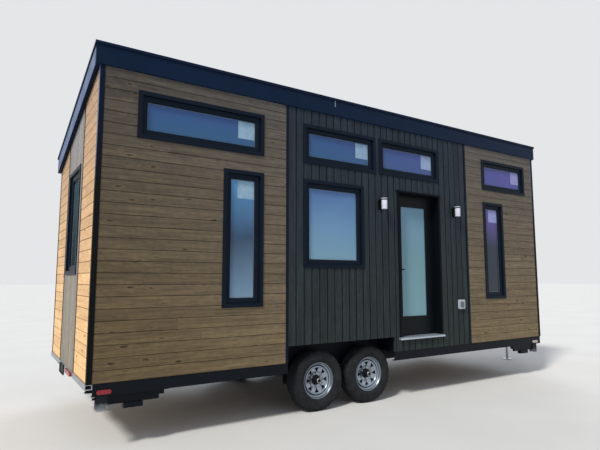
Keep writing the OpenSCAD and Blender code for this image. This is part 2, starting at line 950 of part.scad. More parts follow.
module window_frames() {
    color(navy_metal) each_window() frame_shape($w, $h);
}

module window_panes() {
    color([0.35, 0.5, 0.68, 0.6]) each_window() pane_shape($w, $h);
}

// Door frame with its stop, and a flashing over its head
module door_frame() {
    reach = 30;
    flashing_t = 6;
    flashing_out = 14;
    flashing_lip = 12;
    y0 = face_y - frame_proud;
    y1 = face_y + inner_y;
    z0 = deck_z + sill_h;
    stop_y1 = leaf_y - leaf_gap;
    color(navy_metal) {
        difference() {
            span([door_x0, y0, z0], [door_x1, y1, head_z]);
            span([door_x0 + jamb_t, y0 - eps, z0 - eps], [door_x1 - jamb_t, y1 + eps, head_z - jamb_t]);
        }
        difference() {
            span([door_x0 + jamb_t, stop_y1 - stop_t, z0], [door_x1 - jamb_t, stop_y1, head_z - jamb_t]);
            span([door_x0 + jamb_t + stop_w, stop_y1 - stop_t - eps, z0 - eps],
                 [door_x1 - jamb_t - stop_w, stop_y1 + eps, head_z - jamb_t - stop_w]);
        }
        span([door_x0 - reach, y0 - flashing_out, head_z], [door_x1 + reach, face_y, head_z + flashing_t]);
        span([door_x0, y0 - flashing_out, head_z - flashing_lip], [door_x1, y0, head_z + eps]);
    }
}

// A flat sill under the leaf, with a sloped nosing in front of the boards
module door_sill() {
    ear = 15;
    nose_drop = 6;
    nose_y = face_y - sill_proud;
    top_z = deck_z + sill_h;
    color("silver") {
        span([door_x0, face_y - eps, deck_z], [door_x1, face_y + inner_y, top_z]);
        along_x(door_x0 - ear, door_x1 + ear, [
            [face_y, deck_z - nose_drop], [nose_y, deck_z - nose_drop], [nose_y, deck_z + sill_h / 2],
            [face_y - frame_proud, top_z], [face_y, top_z]
        ]);
    }
}

// Door leaf and what moves with it
module door_leaf() {
    y1 = leaf_y + leaf_t;
    mid = (leaf_x0 + leaf_x1) / 2;
    color(door_paint)
        difference() {
            span([leaf_x0, leaf_y, leaf_z], [leaf_x1, y1, leaf_z + leaf_h]);
            span([mid - lite_w / 2, leaf_y - eps, leaf_z + lite_up],
                 [mid + lite_w / 2, y1 + eps, leaf_z + lite_up + lite_h]);
        }
    color(door_paint)
        difference() {
            span([mid - lite_w / 2 - lite_rim, leaf_y - rim_proud, leaf_z + lite_up - lite_rim],
                 [mid + lite_w / 2 + lite_rim, y1 + rim_proud, leaf_z + lite_up + lite_h + lite_rim]);
            span([mid - lite_w / 2, leaf_y - big, leaf_z + lite_up],
                 [mid + lite_w / 2, y1 + big, leaf_z + lite_up + lite_h]);
        }
}

module door_glass() {
    mid = (leaf_x0 + leaf_x1) / 2;
    y0 = leaf_y + (leaf_t - glass_t) / 2;
    color([0.35, 0.5, 0.68, 0.6])
        span([mid - lite_w / 2, y0, leaf_z + lite_up], [mid + lite_w / 2, y0 + glass_t, leaf_z + lite_up + lite_h]);
}

// A rose, a neck and a lever on each face, and a lock cylinder above
module door_handle() {
    backset = 62;
    rose_r = 30;
    rose_t = 8;
    neck_r = 10;
    neck = 42;
    lever_len = 115;
    lever_w = 18;
    lever_t = 14;
    lock_up = 140;
    lock_r = 27;
    lock_t = 14;
    color("dimgray")
        for (s = [-1, 1])
            translate([leaf_x0 + backset, leaf_y + leaf_t / 2, leaf_z + lever_up])
                mirror([0, s > 0 ? 0 : 1, 0])
                    translate([0, leaf_t / 2, 0]) rotate([-90, 0, 0]) {
                        cylinder(r = rose_r, h = rose_t);
                        cylinder(r = neck_r, h = neck);
                        translate([-neck_r, -lever_w / 2, neck - 4]) cube([lever_len, lever_w, lever_t]);
                        translate([0, -lock_up, 0]) cylinder(r = lock_r, h = lock_t);
                    }
}

hinge_zs = [leaf_z + hinge_inset, leaf_z + (leaf_h - hinge_h) / 2, leaf_z + leaf_h - hinge_inset - hinge_h];
knuckle_h = hinge_h / 3;

// Pins, outer knuckles and plates that are fixed to the inner wall face
module hinge_posts() {
    color("dimgray")
        for (z = hinge_zs)
            translate([hinge_x, hinge_y, z]) {
                cylinder(r = pin_r, h = hinge_h);
                for (k = [0, 2])
                    translate([0, 0, k * knuckle_h + (k > 0 ? pin_gap : 0)])
                        cylinder(r = knuckle_r, h = knuckle_h - pin_gap);
                for (k = [0, 2])
                    translate([0, -knuckle_r, k * knuckle_h + (k > 0 ? pin_gap : 0)])
                        cube([hinge_plate_w, hinge_plate_t, knuckle_h - pin_gap]);
            }
}

module hinge_leaves() {
    color("dimgray")
        for (z = hinge_zs)
            translate([hinge_x, hinge_y, z + knuckle_h])
                difference() {
                    union() {
                        cylinder(r = knuckle_r, h = knuckle_h);
                        translate([-hinge_plate_w, -knuckle_r, 0])
                            cube([hinge_plate_w, hinge_plate_t, knuckle_h]);
                    }
                    translate([0, 0, -eps]) cylinder(r = pin_r + pin_gap, h = knuckle_h + 2 * eps);
                }
}

// Wall lamps: a back plate, an arm and two caps that hold a glass cylinder
module lamp_brackets() {
    plate_w = 70;
    plate_h = 150;
    plate_t = 14;
    cap_h = 16;
    arm_half = 14;
    arm_t = 12;
    arm_z = lamp_glass_h / 2;
    color("black")
        for (x = lamp_xs)
            translate([x, face_y, skirt_z + lamp_h]) {
                span([-plate_w / 2, -plate_t, -plate_h / 2], [plate_w / 2, 0, plate_h / 2]);
                translate([0, -lamp_out, arm_z]) cylinder(r = lamp_r + lamp_cap_over, h = cap_h);
                span([-arm_half, -lamp_out, arm_z], [arm_half, -plate_t / 2, arm_z + arm_t]);
                span([-arm_half, -plate_t, plate_h / 2 - 30], [arm_half, 0, arm_z + arm_t]);
            }
}

module lamp_glasses() {
    color("white")
        for (x = lamp_xs)
            translate([x, face_y - lamp_out, skirt_z + lamp_h - lamp_glass_h / 2])
                cylinder(r = lamp_r, h = lamp_glass_h);
}

module outlet_cover() {
    h = 142;
    d = 45;
    color("gray")
        translate([dark_span[1] - outlet_x, face_y, skirt_z + outlet_h])
            span([-outlet_w / 2, -d, -h / 2], [outlet_w / 2, 0, h / 2]);
}

// Wheels: the profile lies in radius and width, and turns about the axle
module on_axle(x, side) {
    translate([x, side * -wheel_y, axle_z]) rotate([side * -90, 0, 0]) children();
}

module tyre_shape() {
    w = tyre_w / 2;
    bead = rim_r - 14;
    shoulder = 34;
    tread_w = w - 16;
    rotate_extrude($fn = 96)
        polygon([
            [bead, -w + 42], [rim_r, -w + 28], [rim_r + 30, -w + 6], [(tyre_r + rim_r) / 2, -w],
            [tyre_r - shoulder, -w + 8], [tyre_r - 8, -tread_w], [tyre_r, -tread_w + 24],
            [tyre_r, tread_w - 24], [tyre_r - 8, tread_w], [tyre_r - shoulder, w - 8],
            [(tyre_r + rim_r) / 2, w], [rim_r + 30, w - 6], [rim_r, w - 28], [bead, w - 42]
        ]);
}

// A rim barrel with a pressed disc, small triangular vents and a hub
module wheel_shape() {
    well_r = rim_r - 14;
    vent_r = rim_r - 62;
    difference() {
        union() {
            rotate_extrude($fn = 96)
                polygon([
                    [rim_r, -rim_half], [well_r, -rim_half + 14], [well_r, rim_half - 14], [rim_r, rim_half],
                    [rim_r - rim_t, rim_half], [well_r - rim_t, rim_half - 18],
                    [well_r - rim_t, -rim_half + 18], [rim_r - rim_t, -rim_half]
                ]);
            rotate_extrude($fn = 96)
                polygon([
                    [0, disc_out], [hub_r, disc_out], [hub_r + 30, disc_out + 26], [vent_r, disc_out + 20],
                    [well_r - rim_t / 2, disc_out - 6], [well_r - rim_t / 2, disc_out - 6 - disc_t],
                    [vent_r, disc_out + 20 - disc_t], [hub_r + 30, disc_out + 26 - disc_t],
                    [hub_r, disc_out - disc_t], [0, disc_out - disc_t]
                ]);
            translate([0, 0, -hub_in]) cylinder(r = hub_r, h = hub_in + disc_out);
            cylinder(r = hub_r * 0.68, h = disc_out + hub_out);
        }
        for (i = [0 : vent_n - 1])
            rotate([0, 0, (i + 0.5) * 360 / vent_n])
                translate([vent_r + 8, 0, -disc_t]) cylinder(r = 22, h = 4 * disc_t, $fn = 3);
        translate([0, 0, -hub_in - eps]) cylinder(r = spindle_r + pin_gap, h = bore_in + eps);
    }
}

module tyre(x, side) {
    color([0.1, 0.1, 0.1]) on_axle(x, side) tyre_shape();
}

module wheel(x, side) {
    color("silver") on_axle(x, side) wheel_shape();
}

// Moved so that the middle of the bounding box is over the origin
module placed() {
    translate([0, side_shift, 0]) children();
}

module rear_left_tyre() { tyre(axle_xs[0], -1); }
module rear_right_tyre() { tyre(axle_xs[0], 1); }
module front_left_tyre() { tyre(axle_xs[1], -1); }
module front_right_tyre() { tyre(axle_xs[1], 1); }
module rear_left_wheel() { wheel(axle_xs[0], -1); }
module rear_right_wheel() { wheel(axle_xs[0], 1); }
module front_left_wheel() { wheel(axle_xs[1], -1); }
module front_right_wheel() { wheel(axle_xs[1], 1); }

placed() main_rails();
placed() cross_members();
placed() side_rails();
placed() rear_channel();
placed() front_channel();
placed() tongue_beams();
placed() coupler();
placed() tongue_jack();
placed() axles();
placed() leaf_springs();
placed() spring_hangers();
placed() wheel_wells();
placed() corner_jacks();
placed() plate_bracket();
placed() running_lights();
placed() floor_deck();
placed() front_wall_upper();
placed() front_wall_rear();
placed() front_wall_front();
placed() back_wall();
placed() rear_end_wall();
placed() hitch_end_wall();
placed() front_natural_boards();
placed() front_dark_boards();
placed() back_natural_boards();
placed() back_dark_boards();
placed() end_natural_boards();
placed() end_dark_boards();
placed() corner_trims();
placed() joint_trims();
placed() roof_panel();
placed() roof_covering();
placed() eave_fascias();
placed() gable_fascias();
placed() window_frames();
placed() window_panes();
placed() door_frame();
placed() door_sill();
placed() lamp_brackets();
placed() lamp_glasses();
placed() outlet_cover();
placed() hinge_posts();
placed() door_leaf();
placed() door_glass();
placed() door_handle();
placed() hinge_leaves();
placed() rear_left_tyre();
placed() rear_left_wheel();
placed() rear_right_tyre();
placed() rear_right_wheel();
placed() front_left_tyre();
placed() front_left_wheel();
placed() front_right_tyre();
placed() front_right_wheel();
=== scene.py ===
# %% [markdown]
# # A tiny house on wheels
# The house is a timber shell on a two-axle trailer. Its structure comes in as a fixed
# frame of plain solids. This lesson gives it what a visitor sees: boards with grooves and
# grain, framed windows, a standing seam roof, lamps, tyres with tread and dressed wheels.
# Every length is in metres and every piece lies where the frame says.

# %% Load the frame
import json
import math
import random
import bmesh
import bpy
from mathutils import Matrix, Vector

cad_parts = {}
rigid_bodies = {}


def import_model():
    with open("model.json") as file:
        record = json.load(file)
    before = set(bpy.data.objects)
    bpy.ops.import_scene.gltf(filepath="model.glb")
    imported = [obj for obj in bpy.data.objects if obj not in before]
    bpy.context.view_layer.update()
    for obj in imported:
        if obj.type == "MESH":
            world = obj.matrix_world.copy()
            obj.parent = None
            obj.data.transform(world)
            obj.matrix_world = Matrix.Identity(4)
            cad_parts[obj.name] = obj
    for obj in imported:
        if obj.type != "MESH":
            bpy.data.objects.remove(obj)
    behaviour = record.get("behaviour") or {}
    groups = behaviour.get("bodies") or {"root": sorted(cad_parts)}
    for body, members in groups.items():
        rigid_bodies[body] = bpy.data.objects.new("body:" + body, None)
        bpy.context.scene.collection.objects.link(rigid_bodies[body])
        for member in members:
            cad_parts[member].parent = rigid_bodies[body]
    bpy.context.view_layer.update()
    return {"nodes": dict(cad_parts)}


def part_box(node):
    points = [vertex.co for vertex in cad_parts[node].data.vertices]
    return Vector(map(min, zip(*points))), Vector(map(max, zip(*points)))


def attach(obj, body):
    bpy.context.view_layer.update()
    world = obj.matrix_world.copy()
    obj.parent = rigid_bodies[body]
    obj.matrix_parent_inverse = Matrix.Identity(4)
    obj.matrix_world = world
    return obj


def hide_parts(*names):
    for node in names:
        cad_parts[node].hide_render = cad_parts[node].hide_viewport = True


for spare in list(bpy.data.objects):
    bpy.data.objects.remove(spare)
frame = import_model()
nodes = frame["nodes"]

# %% [markdown]
# ## Sizes taken from the frame
# The corner trims stand 4 mm proud of the boards, so their box gives the four faces of the
# house and the height of its skirt. The roof falls 1 in 4 from the door side to the back.

# %% House sizes
trim_proud = 0.004
trim_low, trim_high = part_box("corner_trims")
rear_x, front_x = trim_low.x + trim_proud, trim_high.x - trim_proud
face_y, back_y = trim_low.y + trim_proud, trim_high.y - trim_proud
skirt_z = trim_low.z
pitch = 0.25
roof_low, roof_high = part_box("roof_covering")
high_z = roof_high.z - pitch * (face_y - roof_low.y)
fascia_h = 0.23
board_t = 0.025
dark_rear, dark_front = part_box("front_dark_boards")[0].x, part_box("front_dark_boards")[1].x
print("house", round(front_x - rear_x, 3), "x", round(back_y - face_y, 3), "high edge", round(high_z, 3))


def roof_z(y):
    """Height of the roof's top plane over a place in the width."""
    return high_z - pitch * (y - face_y)

# %% [markdown]
# ## Starting a piece
# An operator works on everything that is selected, so each step first selects only what it
# means to change. `block` is the start of most pieces: a cube primitive stretched between
# two corners, with its place kept in its mesh.

# %% Selecting and starting a piece
def only(*pieces):
    """Select these objects alone."""
    if bpy.context.object and bpy.context.object.mode != "OBJECT":
        bpy.ops.object.mode_set(mode="OBJECT")
    bpy.ops.object.select_all(action="DESELECT")
    for piece in pieces:
        piece.select_set(True)
    bpy.context.view_layer.objects.active = pieces[0]


def settle(piece):
    """Put an object's place, turn and scale into its mesh."""
    only(piece)
    bpy.ops.object.transform_apply(location=True, rotation=True, scale=True)
    return piece


def block(name, low, high):
    """A box between two corners, as the start of a piece."""
    low, high = Vector(low), Vector(high)
    bpy.ops.object.select_all(action="DESELECT")
    bpy.ops.mesh.primitive_cube_add(size=1, location=(low + high) / 2)
    piece = bpy.context.object
    piece.name = name
    piece.scale = high - low
    return settle(piece)


print("helpers: only, settle, block")

# %% [markdown]
# ## Shaping in edit mode
# `pick` opens edit mode and selects the faces, edges or points that pass a test on their
# place. The operator that follows, such as an inset, a bevel or an extrusion, then changes
# only those.

# %% Picking and extruding
def pick(piece, kind, test):
    """Open the mesh and select the parts of one kind that pass the test."""
    if bpy.context.object != piece or piece.mode != "EDIT":
        only(piece)
        bpy.ops.object.mode_set(mode="EDIT")
    bpy.ops.mesh.select_mode(type=kind)
    bpy.ops.mesh.select_all(action="DESELECT")
    mesh = bmesh.from_edit_mesh(piece.data)
    parts = {"VERT": mesh.verts, "EDGE": mesh.edges, "FACE": mesh.faces}[kind]
    found = 0
    for part in parts:
        if test(part):
            part.select_set(True)
            found += 1
    mesh.select_flush_mode()
    bmesh.update_edit_mesh(piece.data)
    return found


def middle(part):
    """Middle of an edge or a face."""
    return sum((vert.co for vert in part.verts), Vector()) / len(part.verts)


def facing(part, axis, sign):
    """Whether a face looks along an axis."""
    return part.normal[axis] * sign > 0.9


def extrude(*move):
    """Extrude what is selected."""
    bpy.ops.mesh.extrude_region_move(TRANSFORM_OT_translate={"value": move})


def close():
    """Leave edit mode."""
    bpy.ops.object.mode_set(mode="OBJECT")


print("helpers: pick, middle, facing, extrude, close")

# %% [markdown]
# ## Copies, joins and modifiers
# What repeats is modelled once and then copied, each copy with a mesh of its own. A modifier
# is applied as soon as it is added. Most pieces get a small bevel, because no real edge is
# perfectly sharp.

# %% Copying, joining and finishing
def copy_of(piece, place, name=None):
    """A copy with its own mesh, moved into place."""
    twin = piece.copy()
    twin.data = piece.data.copy()
    bpy.context.scene.collection.objects.link(twin)
    twin.data.transform(place)
    twin.name = name or piece.name
    return twin


def joined(name, pieces):
    """Join several objects into the first and name it."""
    only(*pieces)
    if len(pieces) > 1:
        bpy.ops.object.join()
    pieces[0].name = pieces[0].data.name = name
    return pieces[0]


def discard(*pieces):
    """Delete objects that have served."""
    for piece in pieces:
        bpy.data.objects.remove(piece)


def finished(piece, kind, **settings):
    """Add one modifier and apply it."""
    only(piece)
    step = piece.modifiers.new(kind.title(), kind)
    for key, value in settings.items():
        setattr(step, key, value)
    bpy.ops.object.modifier_apply(modifier=step.name)
    return piece


def eased(piece, width, segments=2):
    """Round the sharp edges a little, as a cutter or a coat of paint leaves them."""
    return finished(piece, "BEVEL", width=width, segments=segments, limit_method="ANGLE",
                    angle_limit=math.radians(40), harden_normals=False)


print("helpers: copy_of, joined, discard, finished, eased")

# %% [markdown]
# ## Walls as flat sheets
# A window or a board is easiest to draw on a flat wall: s along it, depth into it and z up.
# Four placings turn such a drawing onto the sides of the house.

# %% Placings of the four sides
def side(origin_x, origin_y, degrees):
    """Placing of a wall whose drawing starts at a corner of the house."""
    return Matrix.Translation((origin_x, origin_y, 0)) @ Matrix.Rotation(math.radians(degrees), 4, "Z")


door_side = side(rear_x, face_y, 0)
back_side = side(front_x, back_y, 180)
rear_end = side(rear_x, back_y, -90)
hitch_end = side(front_x, face_y, 90)
length, width = front_x - rear_x, back_y - face_y

# windows: distance from the rear corner, width, sill, height (on the door side)
upper_sill, upper_h, low_sill, tall_h = 3.094, 0.510, 1.316, 1.574
door_windows = {
    "upper_long": (0.383, 1.494, upper_sill, upper_h),
    "upper_rear": (2.442, 1.205, upper_sill, upper_h),
    "upper_middle": (3.707, 1.205, upper_sill, upper_h),
    "upper_front": (5.957, 1.173, upper_sill, upper_h),
    "tall_rear": (1.362, 0.515, low_sill, tall_h),
    "square": (2.442, 0.980, 1.774, 1.116),
    "tall_front": (5.957, 0.515, low_sill, tall_h),
}
end_w, end_sill, end_h = 0.790, 1.685, 1.260


def on_back(window):
    """The same window seen from behind: distances count from the other corner."""
    s, w, z, h = window
    return (length - s - w, w, z, h)


back_windows = {name: on_back(door_windows[name]) for name in ("tall_rear", "square", "tall_front")}
# the rear end is drawn from the back corner, the hitch end from the door-side corner
end_middle = (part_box("end_dark_boards")[0].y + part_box("end_dark_boards")[1].y) / 2
rear_windows = {"end": (back_y - end_middle - end_w / 2, end_w, end_sill, end_h)}
hitch_windows = {"end": (end_middle - face_y - end_w / 2, end_w, end_sill, end_h)}
print(len(door_windows), "windows on the door side,", len(back_windows), "on the back, 2 on the ends")

# %% [markdown]
# ## Boards
# The house is clad with boards that lap over a rebate, so a groove shows between them: 5 mm
# wide on the level boards and 12 mm wide on the upright ones, which throws a black line.
# Each board is a block with its back part extruded down as the tongue, and the two
# front edges planed off. The faces that lie back in the groove are marked, and the finish
# darkens them as painted shade. One board is modelled, then copied, stretched to its length
# and given a number of its own, `tone`, which the finish reads to vary the wood from board to
# board. The openings are cut through the whole wall at the end.

# %% One board
groove_d, shrink_gap, planed = 0.009, 0.0004, 0.0025
# a face whose middle lies deeper than this is marked as groove
groove_from = 0.004


def board_template(name, exposure, groove_w):
    """One metre of board: face above, groove strip below."""
    piece = block(name, (0, 0, groove_w), (1, board_t, exposure - shrink_gap))
    pick(piece, "FACE", lambda face: True)
    bpy.ops.mesh.bisect(plane_co=(0, groove_d, 0), plane_no=(0, 1, 0))
    pick(piece, "FACE", lambda face: facing(face, 2, -1) and middle(face).y > groove_d)
    extrude(0, 0, -groove_w)
    pick(piece, "EDGE", lambda edge: abs(middle(edge).y) < 1e-5 and abs(middle(edge).x - 0.5) < 1e-5)
    bpy.ops.mesh.bevel(offset=planed, segments=2, affect="EDGES")
    close()
    recessed = piece.data.attributes.new("groove", "FLOAT", "FACE")
    recessed.data.foreach_set("value", [float(face.center.y > groove_from) for face in piece.data.polygons])
    return piece


natural_h, dark_w = 0.117, 0.118
natural_board = board_template("natural_board", natural_h, 0.005)
dark_board = board_template("dark_board", dark_w, 0.012)
print("board faces", len(natural_board.data.polygons))

# %% Laying rows and columns of boards
butt_gap, corner_leg, joint_w = 0.0015, 0.046, 0.034
# share of the rows that are laid in two lengths
two_lengths = 0.3
draw = random.Random(11)


def toned(piece, value):
    """Write one tone on every face of a board."""
    tone = piece.data.attributes.new("tone", "FLOAT", "FACE")
    tone.data.foreach_set("value", [value] * len(piece.data.polygons))
    return piece


def lay_rows(wall, start, end, top):
    """Level boards from the skirt up, a few of them in two lengths."""
    laid = []
    for row in range(math.ceil((top - skirt_z) / natural_h)):
        joints = [start, end]
        if draw.random() < two_lengths:
            joints.insert(1, start + (end - start) * draw.uniform(0.2, 0.8))
        for left, right in zip(joints, joints[1:]):
            right -= butt_gap if right < end else 0
            stretch = Matrix.Diagonal((right - left, 1, 1, 1))
            place = wall @ Matrix.Translation((left, 0, skirt_z + row * natural_h)) @ stretch
            laid.append(toned(copy_of(natural_board, place), draw.random()))
    return laid


def lay_columns(wall, start, end, top):
    """Upright boards, drawn out a little so that a whole number fills the bay."""
    laid = []
    count = round((end - start) / dark_w)
    step = (end - start) / count
    upright = Matrix.Rotation(math.radians(-90), 4, "Y")
    for column in range(count):
        stretch = Matrix.Diagonal((top - skirt_z, 1, step / dark_w, 1))
        place = wall @ Matrix.Translation((start + (column + 1) * step, 0, skirt_z)) @ upright @ stretch
        laid.append(toned(copy_of(dark_board, place), draw.random()))
    return laid


def lay_side(wall, run, near, far, top):
    """Boards of one side: level ones at both its ends, upright ones from near to far."""
    level = lay_rows(wall, corner_leg, near - joint_w, top)
    level += lay_rows(wall, far + joint_w, run - corner_leg, top)
    return level, lay_columns(wall, near, far, top)


print("butt joints", butt_gap * 1000, "mm")

# %% Trimming and opening a wall
# cutters reach this far out of a wall and into it
reach_through = 0.1


def carved(piece, tools):
    """Take the shapes of the tools out of a piece."""
    tool = joined("cutter", tools)
    finished(piece, "BOOLEAN", operation="DIFFERENCE", solver="EXACT", object=tool)
    discard(tool)
    return piece


def cut(piece, boxes):
    """Cut box-shaped openings through a piece."""
    return carved(piece, [block("cutter", low, high) for low, high in boxes])


def cladding(name, laid, openings):
    """Join boards, cut them off under the roof and open them for windows, door and wheels."""
    piece = joined(name, laid)
    pick(piece, "FACE", lambda face: True)
    bpy.ops.mesh.bisect(plane_co=(0, face_y, high_z - fascia_h), plane_no=(0, pitch, 1),
                        use_fill=True, clear_outer=True)
    close()
    if openings:
        cut(piece, openings)
    return piece


def holes(wall, windows, *keys):
    """The boxes of some windows through their wall, as corners in the house's frame."""
    boxes = []
    for s, w, z, h in (windows[key] for key in keys):
        one, two = wall @ Vector((s, -reach_through, z)), wall @ Vector((s + w, reach_through, z + h))
        boxes.append((tuple(map(min, one, two)), tuple(map(max, one, two))))
    return boxes


print("cutters reach", reach_through, "m out of a wall and as far into it")

# %% Openings that aren't windows
well_low, well_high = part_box("wheel_wells")
leaf_low, leaf_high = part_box("door_leaf")
arch_z, under_house = well_high.z - 0.005, 0.5
frame_gap, under_leaf = 0.027, 0.029
arch, back_arch = [((well_low.x, y - reach_through, under_house),
                    (well_high.x, y + reach_through, arch_z)) for y in (face_y, back_y)]
# the frame stands round the leaf, and the sill under it
doorway = ((leaf_low.x - frame_gap, face_y - reach_through, leaf_low.z - under_leaf),
           (leaf_high.x + frame_gap, face_y + reach_through, leaf_high.z + frame_gap))
print("doorway", [round(high - low, 3) for low, high in zip(*doorway)])

# %% Clad the four sides
top_front, top_back = roof_z(face_y), roof_z(back_y)
dark_start, dark_end = dark_rear - rear_x, dark_front - rear_x
strip_low, strip_high = (corner.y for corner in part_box("end_dark_boards"))
front_level, front_upright = lay_side(door_side, length, dark_start, dark_end, top_front)
back_level, back_upright = lay_side(back_side, length, length - dark_end, length - dark_start, top_back)
rear_level, rear_upright = lay_side(rear_end, width, back_y - strip_high, back_y - strip_low, top_front)
hitch_level, hitch_upright = lay_side(hitch_end, width, strip_low - face_y, strip_high - face_y, top_front)
sides = {
    "front_natural": (front_level, holes(door_side, door_windows, "upper_long", "upper_front", "tall_rear",
                                         "tall_front")),
    "front_dark": (front_upright, holes(door_side, door_windows, "upper_rear", "upper_middle", "square")
                   + [arch, doorway]),
    "back_natural": (back_level, holes(back_side, back_windows, "tall_rear", "tall_front")),
    "back_dark": (back_upright, holes(back_side, back_windows, "square") + [back_arch]),
    "end_natural": (rear_level + hitch_level, []),
    "end_dark": (rear_upright + hitch_upright,
                 holes(rear_end, rear_windows, "end") + holes(hitch_end, hitch_windows, "end")),
}
clad = {name: cladding(name, laid, openings) for name, (laid, openings) in sides.items()}
discard(natural_board, dark_board)
print("boards laid:", {name: len(laid) for name, (laid, openings) in sides.items()})

# %% [markdown]
# ## Finishes
# A finish is a set of nodes that the renderer reads at every point of a surface. Colours are
# written as sRGB hex, as a paint chart gives them, and turned to linear light by one
# function. `add` puts one node in a material, sets its settings and links what feeds it.

# %% Node helpers
def linear(text):
    """A hex colour as linear light."""
    values = [int(text[i:i + 2], 16) / 255 for i in (1, 3, 5)]
    return tuple(v / 12.92 if v <= 0.04045 else ((v + 0.055) / 1.055) ** 2.4 for v in values) + (1,)


def add(finish, kind, sockets=None, stops=None, **settings):
    """Add one node. A socket takes a number, a hex colour, an output or a node for its first output."""
    node = finish.node_tree.nodes.new("ShaderNode" + kind)
    for key, value in settings.items():
        setattr(node, key, value)
    if stops:
        ramp = node.color_ramp.elements
        while len(ramp) < len(stops):
            ramp.new(0.5)
        for element, (place, colour) in zip(ramp, stops):
            element.position, element.color = place, linear(colour)
    for key, value in (sockets or {}).items():
        socket = next(s for s in node.inputs if s.enabled and key in (s.name, s.identifier))
        if isinstance(value, bpy.types.Node):
            value = next(s for s in value.outputs if s.enabled)
        if isinstance(value, bpy.types.NodeSocket):
            finish.node_tree.links.new(value, socket)
        else:
            socket.default_value = linear(value) if isinstance(value, str) else value
    return node


def new_finish(name):
    """An empty material, with the object's own coordinates to draw patterns in."""
    finish = bpy.data.materials.new(name)
    finish.use_nodes = True
    finish.node_tree.nodes.clear()
    return finish, add(finish, "TexCoord").outputs["Object"]


def surface(finish, sockets):
    """Close a material with its shader."""
    shader = add(finish, "BsdfPrincipled", sockets)
    add(finish, "OutputMaterial", {"Surface": shader})
    return finish


print("a mid grey in linear light:", round(linear("#808080")[0], 3))

# %% [markdown]
# ## Wood finishes
# The natural boards are oiled pine. The long sides and the ends get two copies of this
# finish with light painted in: olive brown as painted shade on the long sides, golden as
# painted sunlight on the ends. Pine shows long streaks of early and late wood, a change
# of colour from board to board, and small dark knots. Real streaks are 3 to 8 mm apart; from
# across a garden those melt together, so a second set 30 mm wide is drawn over them. Boards
# also take the oil in patches. `painted_light_wash` tints them from the rear to the front and
# from foot to head as painted light, mostly darker and bluer towards the head under the roof.

# %% Places that steer a pattern
def share(finish, place, axis, start, end, most=1.0):
    """How far a point lies from start to end along an axis, from 0 to most."""
    split = add(finish, "SeparateXYZ", {"Vector": place})
    return add(finish, "MapRange", {"Value": split.outputs[axis], "From Min": start, "From Max": end,
                                    "To Max": most})


def counts(along, across, lengthwise):
    """How often a pattern repeats in a metre: seldom along one axis, often across it."""
    often = [1 / across] * 3
    often[along] = 1 / lengthwise
    return often


print("30 mm streaks repeat", round(counts(0, 0.030, 0.700)[1]), "times in a metre")

